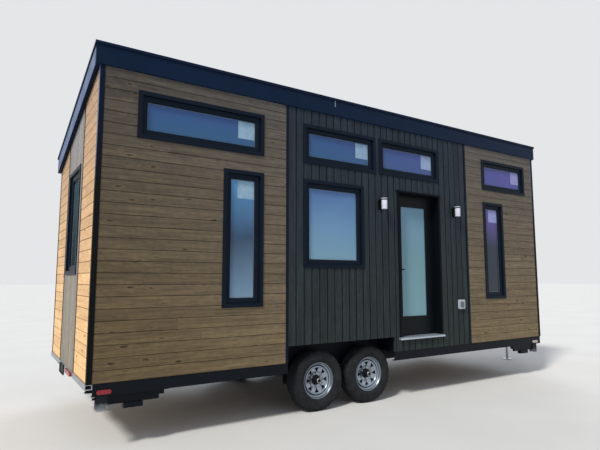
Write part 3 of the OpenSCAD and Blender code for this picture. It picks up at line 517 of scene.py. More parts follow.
# %% Wood grain
def board_finish(name, tones, along, knots, gloss, painted_light_wash, shade):
    """Wood with streaks along one axis, varied by each board's tone and by painted light that changes with
    its place.
    """
    finish, place = new_finish(name)
    # painted light: painted_light_wash darkens and cools the boards from foot to head and shifts them from
    # rear to front, as the light on the wall does
    reach = share(finish, place, "X", -4.3, -2.2)
    level = share(finish, place, "Z", 0.9, 3.9)
    lengthwise = add(finish, "Mix", {"Factor": reach, "A": painted_light_wash[0], "B": painted_light_wash[1]}, data_type="RGBA")
    upward = add(finish, "Mix", {"Factor": level, "A": painted_light_wash[2], "B": painted_light_wash[3]}, data_type="RGBA")
    painted_light_drift = add(finish, "VectorMath", {"Vector": lengthwise, "Vector_001": upward}, operation="MULTIPLY")
    tone = add(finish, "Attribute", attribute_name="tone", attribute_type="GEOMETRY").outputs["Fac"]
    # the fourth coordinate of the noise gives each board its own stretch of grain
    own = add(finish, "Math", {"Value": tone, "Value_001": 61.0}, operation="MULTIPLY")
    broad = add(finish, "VectorMath", {"Vector": place, "Vector_001": counts(along, 0.030, 0.700)},
                operation="MULTIPLY")
    narrow = add(finish, "VectorMath", {"Vector": place, "Vector_001": counts(along, 0.005, 0.120)},
                 operation="MULTIPLY")
    streaks = add(finish, "TexNoise", {"Vector": broad, "W": own, "Scale": 1.0, "Detail": 3.0,
                                       "Roughness": 0.6, "Distortion": 0.6}, noise_dimensions="4D")
    lines = add(finish, "TexNoise", {"Vector": narrow, "W": own, "Scale": 1.0, "Detail": 2.0},
                noise_dimensions="4D")
    grain = add(finish, "Mix", {"Factor": 0.42, "A": streaks, "B": lines})
    colour = add(finish, "ValToRGB", {"Fac": grain},
                 stops=[(0.34, tones[0]), (0.5, tones[1]), (0.66, tones[2])])
    # boards differ: the tone lightens or darkens the whole board
    lift = add(finish, "MapRange", {"Value": tone, "To Min": 0.90, "To Max": 1.10})
    board = add(finish, "VectorMath", {"Vector": colour, "Scale": lift}, operation="SCALE")
    # oil takes unevenly, in patches about 60 mm across
    patches = add(finish, "TexNoise", {"Vector": place, "Scale": 1 / 0.060, "Detail": 3.0, "Roughness": 0.65})
    uneven = add(finish, "MapRange", {"Value": patches, "From Min": 0.3, "From Max": 0.7,
                                      "To Min": 0.89, "To Max": 1.11})
    board = add(finish, "VectorMath", {"Vector": board, "Scale": uneven}, operation="SCALE")
    board = add(finish, "VectorMath", {"Vector": board, "Vector_001": painted_light_drift}, operation="MULTIPLY")
    if knots:
        spots = add(finish, "VectorMath", {"Vector": place, "Vector_001": counts(along, 0.070, 0.22)},
                    operation="MULTIPLY")
        # the patches push the cells about, so that no knot is a clean oval
        push = add(finish, "VectorMath", {"Vector": patches.outputs[1], "Scale": 0.5}, operation="SCALE")
        ragged = add(finish, "VectorMath", {"Vector": spots, "Vector_001": push}, operation="ADD")
        cells = add(finish, "TexVoronoi", {"Vector": ragged, "W": own, "Scale": 1.0}, voronoi_dimensions="4D")
        # a pale halo first, then the dark knot in its middle
        for core, rim, strength, tint in ((0.20, 0.36, 0.30, tones[2]), (0.12, 0.26, 0.90, knots)):
            near = add(finish, "MapRange", {"Value": cells.outputs["Distance"], "From Min": core,
                                            "From Max": rim, "To Min": strength, "To Max": 0.0})
            board = add(finish, "Mix", {"Factor": near, "A": board, "B": tint}, data_type="RGBA")
    # painted shade: the faces deep in a groove are darkened, as shade falls there
    groove = add(finish, "Attribute", attribute_name="groove", attribute_type="GEOMETRY").outputs["Fac"]
    dimming = add(finish, "MapRange", {"Value": groove, "To Min": 1.0, "To Max": 1.0 - shade})
    board = add(finish, "VectorMath", {"Vector": board, "Scale": dimming}, operation="SCALE")
    relief = add(finish, "Bump", {"Height": grain, "Strength": 0.35, "Distance": 0.0015})
    return surface(finish, {"Base Color": board, "Roughness": gloss, "Specular IOR Level": 0.25,
                            "Normal": relief})


along_x, along_y, along_z = 0, 1, 2
print("grain runs along x on the long sides, y on the ends and z on upright boards")

# %% Oiled pine and stained boards
def put(piece, body, slot, finish, *replaced):
    """Give a piece its finish and its body, and hide the solids it replaces. The slot is not used."""
    piece.data.materials.clear()
    piece.data.materials.append(finish)
    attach(piece, body)
    if replaced:
        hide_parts(*replaced)
    triangles = sum(len(face.vertices) - 2 for face in piece.data.polygons)
    print("%-22s %6d triangles on %s" % (piece.name, triangles, body))


# painted light: the long sides take the oiled pine as painted shade, the ends take it as painted sunlight
oiled_pine_painted_shade = board_finish("oiled_pine_painted_shade", ("#594d3b", "#6f614e", "#877659"), along_x, "#2c2217", 0.66,
                          ("#dfdad0", "#ffffff", "#fffff2", "#c2d4ff"), 0.35)
painted_sunlit_pine = board_finish("painted_sunlit_pine_oil", ("#d8a974", "#edbf84", "#f6cf96"), along_y, "#8a5c36", 0.58,
                           ("#ffffff", "#ffffff", "#ffffff", "#acb0ce"), 0.65)
# painted light: the upright boards of the long sides take the charcoal stain as painted shade, those of the
# ends a paler grey copy as painted sunlight
stain_painted_shade = board_finish("charcoal_boards_painted_shade", ("#171e23", "#252c34", "#353d45"), along_z, None, 0.72,
                            ("#ffffff", "#ffffff", "#f2f7dc", "#d0e8ff"), 0.9)
stain_painted_sunlight = board_finish("stained_boards_painted_sunlight", ("#78777a", "#8b8989", "#9d9b9a"), along_z, None, 0.74,
                           ("#ffffff", "#ffffff", "#fff8e2", "#ffffff"), 0.6)
for part, level, upright in (("front", oiled_pine_painted_shade, stain_painted_shade), ("back", oiled_pine_painted_shade, stain_painted_shade),
                             ("end", painted_sunlit_pine, stain_painted_sunlight)):
    put(clad[part + "_natural"], "house", "natural_wood", level, part + "_natural_boards")
    put(clad[part + "_dark"], "house", "dark_wood", upright, part + "_dark_boards")

# %% [markdown]
# ## Powder coated steel
# Fascias, trims and window frames are bent from steel sheet with a baked navy coat. It is
# nearly black in the shade, with a low, even sheen and a very fine orange peel.

# %% Navy coat
def coat_finish(name, colour, roughness, peel, sheen=0.25, metallic=0.0):
    """A baked coat: even colour, with a slow drift and a fine orange peel."""
    finish, place = new_finish(name)
    drift = add(finish, "TexNoise", {"Vector": place, "Scale": 3.0, "Detail": 2.0})
    shade = add(finish, "MapRange", {"Value": drift, "To Min": 0.82, "To Max": 1.18})
    tint = add(finish, "RGB")
    tint.outputs[0].default_value = linear(colour)
    body = add(finish, "VectorMath", {"Vector": tint, "Scale": shade}, operation="SCALE")
    # orange peel is about a millimetre across; it is drawn 4 mm wide so that it shows
    pores = add(finish, "TexNoise", {"Vector": place, "Scale": 1 / 0.004, "Detail": 1.0})
    skin = add(finish, "Bump", {"Height": pores, "Strength": peel, "Distance": 0.0006})
    return surface(finish, {"Base Color": body, "Roughness": roughness, "Specular IOR Level": sheen,
                            "Metallic": metallic, "Normal": skin})


navy_coat = coat_finish("navy_powder_coated_steel", "#0c1724", 0.44, 0.25, 0.09)
# painted reflection: the eave fascias get a bluer copy of the navy coat, for the sky reflected in them
navy_painted_sky_reflection = coat_finish("navy_steel_painted_sky_reflection", "#081c34", 0.44, 0.25, 0.09)
print("finishes:", navy_coat.name, navy_painted_sky_reflection.name)

# %% [markdown]
# ## Painted sunlight on the trims at the ends
# The fascias and corner trims of the two ends take the full sun. Near the roof their
# outward faces are painted a pale slate blue, as painted sunlight and painted sky reflection
# on the navy coat. Lower down, and on the faces that look down or sideways, the coat is
# painted darker, as painted shade. The finish reads which way a face looks and how
# high it is, and mixes the colours by both.

# %% Painted sunlit coat
painted_sunlit_coat, place = new_finish("navy_steel_painted_sunlight")
facing_out = add(painted_sunlit_coat, "SeparateXYZ", {"Vector": add(painted_sunlit_coat, "TexCoord").outputs["Normal"]})
outward = add(painted_sunlit_coat, "Math", {"Value": facing_out.outputs["X"]}, operation="ABSOLUTE")
open_face = add(painted_sunlit_coat, "MapRange", {"Value": outward, "From Min": 0.6, "From Max": 0.9})
# painted light: outward faces high up are pale as painted sunlight and sky reflection, the lower part dark as
# painted shade
upper_third = share(painted_sunlit_coat, place, "Z", 2.55, 3.15)
sunlit_share = add(painted_sunlit_coat, "Math", {"Value": open_face, "Value_001": upper_third}, operation="MULTIPLY")
sunlit_mottle = add(painted_sunlit_coat, "TexNoise", {"Vector": place, "Scale": 5.0, "Detail": 4.0})
pale = add(painted_sunlit_coat, "ValToRGB", {"Fac": sunlit_mottle}, stops=[(0.3, "#56658a"), (0.7, "#6f7f9a")])
coat = add(painted_sunlit_coat, "Mix", {"Factor": upper_third, "A": "#0d0f11", "B": "#0a1528"}, data_type="RGBA")
trim_colour = add(painted_sunlit_coat, "Mix", {"Factor": sunlit_share, "A": coat, "B": pale}, data_type="RGBA")
surface(painted_sunlit_coat, {"Base Color": trim_colour, "Roughness": 0.6, "Specular IOR Level": 0.08})
print("finishes:", painted_sunlit_coat.name)

# %% [markdown]
# ## Windows
# Each window is a steel-clad frame that stands 12 mm proud of the boards, with a deep sash
# set back in it, a sealed pair of glass sheets and a pale gasket round the glass. A frame is a
# block whose front and back faces are inset and bridged, which leaves a ring. Six sizes
# are modelled and copied to their places.

# %% Frame and sash
def ring(name, low, high, border):
    """A rectangular ring, open along the depth of the wall."""
    piece = block(name, low, high)
    pick(piece, "FACE", lambda face: facing(face, 1, 1) or facing(face, 1, -1))
    bpy.ops.mesh.inset(thickness=border, use_individual=True)
    bpy.ops.mesh.bridge_edge_loops()
    close()
    return piece


frame_w, frame_proud, frame_back = 0.045, 0.012, 0.095
sash_w, sash_face, sash_back = 0.060, 0.014, 0.091
inner = frame_w + sash_w


def window_frame(w, h):
    """Outer frame and sash of one window, drawn on the wall's plane."""
    outer = ring("outer", (0, -frame_proud, 0), (w, frame_back, h), frame_w)
    sash = ring("sash", (frame_w, sash_face, frame_w), (w - frame_w, sash_back, h - frame_w), sash_w)
    # the sash's inner front edge is a sloped bead that holds the glass
    pick(sash, "EDGE", lambda edge: abs(middle(edge).y - sash_face) < 1e-5
         and all(inner - 1e-4 < vert.co.x < w - inner + 1e-4 for vert in edge.verts)
         and all(inner - 1e-4 < vert.co.z < h - inner + 1e-4 for vert in edge.verts))
    bpy.ops.mesh.bevel(offset=0.009, segments=1, affect="EDGES")
    close()
    eased(sash, 0.0025, 2)
    eased(outer, 0.0015, 2)
    return joined("window", [outer, sash])


print("frame", frame_w * 1000, "mm, sash", sash_w * 1000, "mm")

# %% Sealed panes
glass_face, glass_back, sheet_t, seal_w = 0.0405, 0.0645, 0.004, 0.005


def double_pane(name, low, high):
    """Two sheets of glass with a gap between them."""
    sheets = [block("sheet", (low[0], start, low[2]), (high[0], start + sheet_t, high[2]))
              for start in (low[1], high[1] - sheet_t)]
    return joined(name, [eased(sheet, 0.0008, 1) for sheet in sheets])


def gasket(w, h):
    """A soft seal on the glass, and the spacer between the sheets behind it."""
    seal = ring("seal", (inner, glass_face - 0.002, inner), (w - inner, glass_face, h - inner), seal_w)
    spacer = ring("spacer", (inner, glass_face + sheet_t, inner),
                  (w - inner, glass_back - sheet_t, h - inner), seal_w)
    return joined("seal", [eased(seal, 0.0008, 1), spacer])


print("panes are", round((glass_back - glass_face) * 1000, 1), "mm thick")

# %% Copy the windows to their places
places = [(wall, window, key.split("_")[0])
          for wall, windows in ((door_side, door_windows), (back_side, back_windows),
                                (rear_end, rear_windows), (hitch_end, hitch_windows))
          for key, window in windows.items()]
made, frames, seals, glass = {}, [], [], {"upper": [], "tall": [], "square": [], "end": []}
for wall, (s, w, z, h), kind in places:
    if (w, h) not in made:
        sheets = double_pane("sheets", (inner, glass_face, inner), (w - inner, glass_back, h - inner))
        made[w, h] = [window_frame(w, h), sheets, gasket(w, h)]
    spot = wall @ Matrix.Translation((s, 0, z))
    framed, sheets, seal = [copy_of(part, spot) for part in made[w, h]]
    frames.append(framed)
    seals.append(seal)
    glass[kind].append(sheets)
discard(*[part for parts in made.values() for part in parts])
window_frames = joined("dressed_window_frames", frames)
window_seals = joined("glazing_seals", seals)
glass = {kind: joined(kind + "_glass", sheets) for kind, sheets in glass.items()}
print(len(places), "windows of", len(made), "sizes")

# %% [markdown]
# ## Glass
# The colour of the glass is a painted reflection of the sky and the garden: blue at the
# rear end of the house and violet towards the hitch. The colour drifts slowly over each pane,
# from foot to head and from the rear to the front. A share of the light goes through it, so
# the bare room shows faintly behind.

# %% Glass finishes
glass_cover = 0.86


def glass_finish(kind, span_x, span_z, rear, front=None):
    """Glass with a painted reflection: colours from foot to head at the rear, blending to those at the front.
    """
    finish, place = new_finish("glass_painted_reflection_" + kind)
    wander = add(finish, "TexNoise", {"Vector": place, "Scale": 1.6, "Detail": 2.0})
    level = share(finish, place, "Z", *span_z)
    mixed = add(finish, "Mix", {"Factor": 0.22, "A": level, "B": wander})
    near, far = [add(finish, "ValToRGB", {"Fac": mixed}, stops=list(zip((0.12, 0.5, 0.88), colours)))
                 for colours in (rear, front or rear)]
    reach = share(finish, place, "X", *span_x)
    tint = add(finish, "Mix", {"Factor": reach, "A": near, "B": far}, data_type="RGBA")
    return surface(finish, {"Base Color": tint, "Roughness": 0.04, "IOR": 1.5, "Alpha": glass_cover,
                            "Specular IOR Level": 0.35})


print("glass covers", glass_cover, "of what lies behind it")

# %% Painted reflections of the four kinds of window
lower_span = (-2.5, 1.6)
# painted reflection: each kind's colours stand for the sky, trees and lawn reflected in its panes
painted_reflections = {
    "upper": ((-1.5, 2.6), (3.20, 3.49), ("#33608a", "#335c8c", "#335792"),
              ("#4f519a", "#52509c", "#50509a")),
    "tall": (lower_span, (1.42, 2.78), ("#7d9fb8", "#36506c", "#5894c7"),
             ("#2b3640", "#293242", "#6152a0")),
    "square": (lower_span, (1.88, 2.78), ("#7ba4ba", "#6d97bb", "#4f74ab")),
    "end": (lower_span, (1.79, 2.84), ("#33474a", "#435c60", "#4d6a78")),
}
seal_finish = coat_finish("pale_glazing_seal", "#75838f", 0.60, 0.15, 0.15)
for kind, tint in painted_reflections.items():
    put(glass[kind], "house", "glass", glass_finish(kind, *tint), "window_panes")
put(window_seals, "house", "grey_plastic", seal_finish)
put(window_frames, "house", "navy_metal", navy_coat, "window_frames")

# %% [markdown]
# ## Labels on the new glass
# New windows come with a paper label in the upper corner of the pane. Here they are left
# blank. Each is a thin sheet that lies on the glass.

# %% Blank labels
def rounded(piece, radius, segments):
    """Round the corners of a flat piece, seen from the front: the edges that run along y."""
    pick(piece, "EDGE", lambda edge: abs((edge.verts[0].co - edge.verts[1].co).y) > 1e-4)
    bpy.ops.mesh.bevel(offset=radius, segments=segments, affect="EDGES")
    close()
    return piece


label_w, label_h, label_t, gap_right, gap_top = 0.215, 0.205, 0.0008, 0.003, 0.012
labels = []
for key in ("upper_long", "upper_rear", "upper_middle", "upper_front", "tall_rear", "tall_front"):
    s, w, z, h = door_windows[key]
    right, top = rear_x + s + w - frame_w - sash_w - gap_right, z + h - frame_w - sash_w - gap_top
    sheet_y = face_y + glass_face
    label = block("label", (right - label_w, sheet_y - label_t, top - label_h), (right, sheet_y, top))
    labels.append(rounded(label, 0.004, 3))
print(len(labels), "labels")

# %% Label paper
paper, place = new_finish("blank_label_paper")
fibre = add(paper, "TexNoise", {"Vector": place, "Scale": 18.0, "Detail": 3.0})
# painted shade: the pale paper is blue-grey as painted shade and sky light, drifting to lilac towards the
# hitch like the glass's painted reflection
cool = add(paper, "ValToRGB", {"Fac": fibre}, stops=[(0.3, "#7f9fb9"), (0.7, "#92b1c6")])
lilac = add(paper, "ValToRGB", {"Fac": fibre}, stops=[(0.3, "#8488b8"), (0.7, "#979bc9")])
reach = share(paper, place, "X", -1.5, 2.4)
shade = add(paper, "Mix", {"Factor": reach, "A": cool, "B": lilac}, data_type="RGBA")
surface(paper, {"Base Color": shade, "Roughness": 0.6, "Specular IOR Level": 0.2})
put(joined("blank_window_labels", labels), "house", "grey_plastic", paper)

# %% [markdown]
# ## Door
# The door is a smooth insulated leaf with one tall pane. The leaf is a block with a hole cut
# through it, and a raised rim holds the glass on both faces.

# %% Door leaf and its pane
lite_low, lite_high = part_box("door_glass")
rim_proud, rim_w = 0.004, 0.026
leaf = block("leaf", (leaf_low.x, leaf_low.y + rim_proud, leaf_low.z),
             (leaf_high.x, leaf_high.y - rim_proud, leaf_high.z))
cut(leaf, [((lite_low.x, leaf_low.y - reach_through, lite_low.z),
            (lite_high.x, leaf_high.y + reach_through, lite_high.z))])
eased(leaf, 0.002, 2)
rims = []
for start in (leaf_low.y, leaf_high.y - rim_proud):
    rim = ring("rim", (lite_low.x - rim_w, start, lite_low.z - rim_w),
               (lite_high.x + rim_w, start + rim_proud, lite_high.z + rim_w), rim_w + 0.004)
    rims.append(eased(rim, 0.0015, 2))
leaf = joined("door_leaf_dressed", [leaf] + rims)
pane = double_pane("door_pane", lite_low, lite_high)
door_seal = ring("door_seal", (lite_low.x, lite_low.y + sheet_t, lite_low.z),
                 (lite_high.x, lite_high.y - sheet_t, lite_high.z), 0.010)
door_coat = coat_finish("charcoal_door_enamel", "#0c1116", 0.42, 0.30, 0.12)
# painted shade: the jamb is painted darker than the door and the navy trims, for the shade in the door's
# reveal
jamb_painted_shade = coat_finish("navy_jamb_enamel_painted_shade", "#090e14", 0.44, 0.25, 0.07)
# painted reflection: the door pane's pale blue-green is the garden reflected in it
door_painted_reflection = glass_finish("door", lower_span, (1.15, 2.65), ("#7ba5b0", "#739daa", "#6f98b2"))
put(leaf, "door", "door_paint", door_coat, "door_leaf")
put(pane, "door", "glass", door_painted_reflection, "door_glass")
put(door_seal, "door", "grey_plastic", seal_finish)

# %% [markdown]
# ## Roof
# The roof is one dark sheet folded down 30 mm round its edges, with standing seams that run
# down the slope. It is drawn level, with its seams, and then sheared to the fall of the
# roof, so the folded edges stay plumb.

# %% Roof sheet
lip, sheet_fold = 0.030, 0.003
roof = block("sheet", (roof_low.x, roof_low.y, roof_high.z - sheet_fold), roof_high)
pick(roof, "FACE", lambda face: facing(face, 2, -1))
bpy.ops.mesh.inset(thickness=sheet_fold)
roof_middle = (roof_low + roof_high) / 2
# the rim of the underside lies far from the middle
pick(roof, "FACE", lambda face: facing(face, 2, -1) and (middle(face) - roof_middle).xy.length > 1.0)
extrude(0, 0, sheet_fold - lip)
close()
print("roof sheet folded down", lip * 1000, "mm")

# %% Seams of the roof
seam_w, seam_h, seam_gap, seam_stop, seam_end = 0.008, 0.025, 0.42, 0.060, 0.006
# the head of a seam is twice as wide as its web
flare_h, head_h, flare = 0.001, 0.008, 2.0
seam = block("seam", (-seam_w / 2, roof_low.y + seam_stop, 0),
             (seam_w / 2, roof_high.y - seam_end, seam_h - flare_h - head_h))
pick(seam, "FACE", lambda face: facing(face, 2, 1))
extrude(0, 0, flare_h)
bpy.ops.transform.resize(value=(flare, 1, 1))
extrude(0, 0, head_h)
close()
eased(seam, 0.0015, 1)
seams = round((roof_high.x - roof_low.x) / seam_gap)
seam_step = (roof_high.x - roof_low.x) / seams
seam_rows = [copy_of(seam, Matrix.Translation((roof_low.x + seam_step * number, 0, roof_high.z)))
             for number in range(1, seams)]
discard(seam)
roof = joined("seam_roof", [roof] + seam_rows)
fall = Matrix.Identity(4)
fall[2][1], fall[2][3] = -pitch, pitch * roof_low.y
roof.data.transform(fall)
# painted reflection: the roof is as blue as the eave fascias, for the sky reflected in its folded edge
roof_coat = coat_finish("navy_coated_roof_steel", "#0a1a33", 0.44, 0.15, 0.09)
put(roof, "house", "roof_metal", roof_coat, "roof_covering")

# %% [markdown]
# ## Laps of the long fascias
# A fascia is bent from two lengths of sheet. Where they meet, one laps 40 mm over the other,
# and a thin pale strip beside the lap is a painted highlight: the glint of the sheet's edge under the roof's
# edge.

# %% Lap strips and their painted highlights
eave_low, eave_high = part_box("eave_fascias")
lap_x, lap_w, lap_h, lap_t = rear_x + 2.945, 0.040, 0.185, 0.0015
glint_w, glint_h, glint_t = 0.009, 0.085, 0.003
strips, edges = [], []
for fascia_y, out, sheet_y in ((eave_low.y, -1, roof_low.y), (eave_high.y, 1, roof_high.y)):
    lap_top = roof_z(sheet_y) - lip - 0.001
    near, far = sorted((fascia_y, fascia_y + out * lap_t))
    strip = block("strip", (lap_x, near, lap_top - lap_h), (lap_x + lap_w, far, lap_top))
    strips.append(eased(strip, 0.0005, 1))
    near, far = sorted((fascia_y, fascia_y + out * glint_t))
    # painted highlight: a thin pale strip where the lap's edge glints
    edge = block("edge", (lap_x - glint_w, near, lap_top - glint_h), (lap_x, far, lap_top))
    edges.append(eased(edge, 0.001, 2))
lap_painted_highlight = coat_finish("lap_edge_painted_highlight", "#8a97a8", 0.40, 0.10, 0.3)
put(joined("fascia_lap_strips", strips), "house", "navy_metal", navy_painted_sky_reflection)
put(joined("fascia_lap_painted_highlights", edges), "house", "bare_aluminium", lap_painted_highlight)
print("laps", round(lap_x - rear_x, 2), "m from the rear end")

# %% [markdown]
# ## Tyres
# A tyre is a section spun round the axle. The section is drawn as a chain of points, each
# one extruded from the last, and then spun in 72 steps. Every other face of the shoulder is
# pushed in to break the tread into blocks.

# %% Spinning a section
def turned(name, section, centre, axis, steps):
    """Extrude a chain of points (along the axis, away from it), then spin it round the axis."""
    centre, axis = Vector(centre), Vector(axis)
    outward = Vector((0, 0, 1)) if abs(axis.z) < 0.5 else Vector((1, 0, 0))
    points = [centre + axis * along + outward * away for along, away in section]
    bpy.ops.object.select_all(action="DESELECT")
    bpy.ops.mesh.primitive_plane_add(size=0.01, location=points[0])
    piece = bpy.context.object
    piece.name = name
    settle(piece)
    pick(piece, "VERT", lambda vert: True)
    bpy.ops.mesh.merge(type="CENTER")
    for last, point in zip(points, points[1:]):
        extrude(*(point - last))
    bpy.ops.mesh.select_all(action="SELECT")
    bpy.ops.mesh.spin(steps=steps, angle=math.tau, center=centre, axis=axis)
    bpy.ops.mesh.select_all(action="SELECT")
    bpy.ops.mesh.remove_doubles(threshold=0.00005)
    bpy.ops.mesh.normals_make_consistent(inside=False)
    close()
    return piece


def smooth(piece, angle=35):
    """Shade smooth across gentle corners only."""
    only(piece)
    bpy.ops.object.shade_smooth_by_angle(angle=math.radians(angle))
    return piece


print("helpers: turned, smooth")

# %% Tyre section
tyre_low, tyre_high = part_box("rear_left_tyre")
wheel_low, wheel_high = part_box("rear_left_wheel")
wheel_middle = (tyre_low + tyre_high) / 2
tyre_r = (tyre_high.z - tyre_low.z) / 2
half_w = (tyre_high.y - tyre_low.y) / 2
bead_r, tyre_steps = 0.217, 72
# one side from the bead to the middle of the tread, as (across, radius)
cheek = [(-0.086, bead_r), (-0.093, 0.224), (-0.098, 0.233), (-0.106, 0.246), (-0.114, 0.268),
         (-half_w, 0.293), (-0.1145, 0.320), (-0.110, 0.330), (-0.108, 0.341), (-0.101, 0.353),
         (-0.091, 0.3625), (-0.078, 0.3665), (-0.062, 0.3685), (-0.060, 0.361), (-0.052, 0.361),
         (-0.050, 0.3690), (-0.028, tyre_r), (-0.026, 0.3620), (-0.018, 0.3620), (-0.016, tyre_r)]
outside = cheek + [(-across, radius) for across, radius in reversed(cheek)]
inside = [(0.070, bead_r), (0.096, 0.290), (0.080, 0.350), (-0.080, 0.350), (-0.096, 0.290), (-0.070, bead_r)]
tyre = turned("tyre", outside + inside + outside[:1], wheel_middle, (0, 1, 0), tyre_steps)
print("tyre", round(2 * tyre_r, 3), "m across and", round(2 * half_w, 3), "m wide")

# %% Notches of the shoulder
notch_low, notch_high, notch_side, notch_d = 0.343, 0.366, 0.084, 0.004


def round_axle(point):
    """Angle of a point round the axle, in steps of the spin."""
    turn = math.degrees(math.atan2(point.z - wheel_middle.z, point.x - wheel_middle.x)) % 360
    return turn / (360 / tyre_steps)


def away(point):
    """Distance of a point from the axle line."""
    return math.hypot(point.x - wheel_middle.x, point.z - wheel_middle.z)


found = pick(tyre, "FACE", lambda face: notch_low < away(middle(face)) < notch_high
             and abs(middle(face).y - wheel_middle.y) > notch_side
             and int(round_axle(middle(face))) % 2 == 0
             and face.normal.dot(middle(face) - wheel_middle) > 0)
bpy.ops.mesh.extrude_region_shrink_fatten(TRANSFORM_OT_shrink_fatten={"value": -notch_d})
close()
smooth(tyre, 40)
print("tread notches from", found, "faces; tyre", len(tyre.data.polygons), "faces")

# %% [markdown]
# ## Wheels
# The steel wheel is spun in the same way: a rim with a rolled lip and a drop centre, and a
# dished disc with a raised bead round it and a deeper bolt face in the middle. Eight
# triangular vents are cut through the disc, and the dark brake drum shows through them. The
# black hub stands far out of the middle with six nuts round it, and its bright end ring
# holds a rubber plug.

# %% Rim and disc
def wheel_part(name, steps, *section):
    """Spin a section given in millimetres: along the axle, and away from it."""
    metres = [(across / 1000, radius / 1000) for across, radius in section]
    return turned(name, metres, wheel_middle, (0, 1, 0), steps)


rim = wheel_part(
    "rim", 64, (-90.5, 220.5), (-91.5, 218), (-90, 215), (-85, 213.5), (-80, 210), (-68, 205), (-60, 203),
    (-54, 196), (-50, 190), (-10, 188), (30, 190), (60, 203), (85, 210), (90.5, 218), (90.5, 220.5),
    (85, 216.5), (60, 208), (28, 194), (-10, 192), (-52, 194.5), (-62, 207.5), (-85, 216.5), (-90.5, 220.5))
disc = wheel_part(
    "disc", 64, (-10, 189), (-30, 180), (-50, 178), (-56, 175), (-58, 171), (-57, 167), (-47, 160),
    (-45, 156), (-43, 115), (-36, 102), (-27, 96), (-25, 92), (-25, 64), (-23.5, 62), (-19, 62), (-19, 93),
    (-30, 105), (-37, 117), (-39, 158), (-50, 169), (-50, 172), (-30, 174), (-4, 186), (-10, 189))
print("rim", len(rim.data.polygons), "faces, disc", len(disc.data.polygons), "faces")

# %% Vents of the disc
def bar_in_wheel(corners, radius, depth, ring_r, out, turn, own_turn):
    """A bar with straight sides that lies along the axle, on a ring round it."""
    spot = wheel_middle + Vector((ring_r * math.sin(turn), out, ring_r * math.cos(turn)))
    bpy.ops.object.select_all(action="DESELECT")
    bpy.ops.mesh.primitive_cylinder_add(vertices=corners, radius=radius, depth=depth, location=spot,
                                        rotation=(math.radians(90), own_turn, 0))
    return settle(bpy.context.object)


vent_ring, vent_r, vent_l, vent_out, vent_corner = 0.134, 0.037, 0.08, -0.05, 0.006
vents = []
for number in range(8):
    turn = math.radians(45 * number)
    vent = bar_in_wheel(3, vent_r, vent_l, vent_ring, vent_out, turn, turn + math.pi)
    vents.append(rounded(vent, vent_corner, 3))
carved(disc, vents)
white_wheel = smooth(joined("white_wheel", [rim, disc]), 30)
print("wheel", len(white_wheel.data.polygons), "faces; half width of the tyre", round(half_w, 4),
      "and of the solid wheel", round((wheel_high.y - wheel_low.y) / 2, 4))

# %% Nuts, cap and hub
nut_ring, nut_r, nut_l, nut_out = 0.080, 0.0125, 0.022, -0.032
nuts = []
for number in range(6):
    nut = bar_in_wheel(6, nut_r, nut_l, nut_ring, nut_out, math.radians(60 * number), 0)
    nuts.append(eased(nut, 0.0025, 2))
end_ring = wheel_part("end_ring", 40, (-95, 22.5), (-95, 34), (-103, 34), (-106, 32), (-106.5, 29),
                      (-106.5, 25), (-105, 22.5), (-95, 22.5))
bright_fittings = smooth(joined("bright_fittings", nuts + [end_ring]), 30)
hub = wheel_part("hub", 40, (70, 0), (70, 60), (-32, 60), (-36, 57), (-42, 50), (-90, 43), (-97, 41),
                 (-99, 38), (-99, 0))
drum = wheel_part("drum", 40, (60, 59), (60, 160), (55, 165), (-12, 165), (-17, 160), (-17, 59), (60, 59))
plug = wheel_part("plug", 24, (-98, 0), (-98, 18), (-107.5, 18), (-109.5, 15), (-109.5, 0))
dark_hub = smooth(joined("dark_hub", [hub, drum, plug]), 30)
print(len(nuts), "nuts; hub and drum", len(dark_hub.data.polygons), "faces")

# %% [markdown]
# ## Rubber, wheel enamel and plated steel
# Tyre rubber is a dull dark grey with a little dust in it. The wheels have a silvery enamel
# with some gloss, the nuts are zinc plated and dully bright, and the hubs are oiled steel,
# almost black.

# %% Rubber and wheel finishes
def mottled(name, scale, detail, dark, light, sockets):
    """A finish that drifts between two close colours, in spots of the given scale."""
    finish, place = new_finish(name)
    spots = add(finish, "TexNoise", {"Vector": place, "Scale": scale, "Detail": detail})
    colour = add(finish, "ValToRGB", {"Fac": spots}, stops=[(0.3, dark), (0.7, light)])
    return surface(finish, {"Base Color": colour, **sockets})


rubber, place = new_finish("tyre_rubber")
dust = add(rubber, "TexNoise", {"Vector": place, "Scale": 14.0, "Detail": 4.0})
grey = add(rubber, "ValToRGB", {"Fac": dust}, stops=[(0.35, "#15171a"), (0.7, "#24272a")])
grit = add(rubber, "TexNoise", {"Vector": place, "Scale": 1 / 0.003, "Detail": 1.0})
pebble = add(rubber, "Bump", {"Height": grit, "Strength": 0.3, "Distance": 0.0005})
surface(rubber, {"Base Color": grey, "Roughness": 0.82, "Specular IOR Level": 0.25, "Normal": pebble})
wheel_coat = coat_finish("silver_white_wheel_enamel", "#9ba6b3", 0.32, 0.10, 0.5, 0.92)
dark_steel = mottled("oiled_dark_steel", 40.0, 3.0, "#0b0d0f", "#15181a",
                     {"Roughness": 0.5, "Specular IOR Level": 0.15})
plated_steel = mottled("zinc_plated_steel", 60.0, 2.0, "#8d9296", "#a9adb1",
                       {"Roughness": 0.40, "Metallic": 0.9})
print("finishes:", rubber.name, wheel_coat.name, dark_steel.name, plated_steel.name)

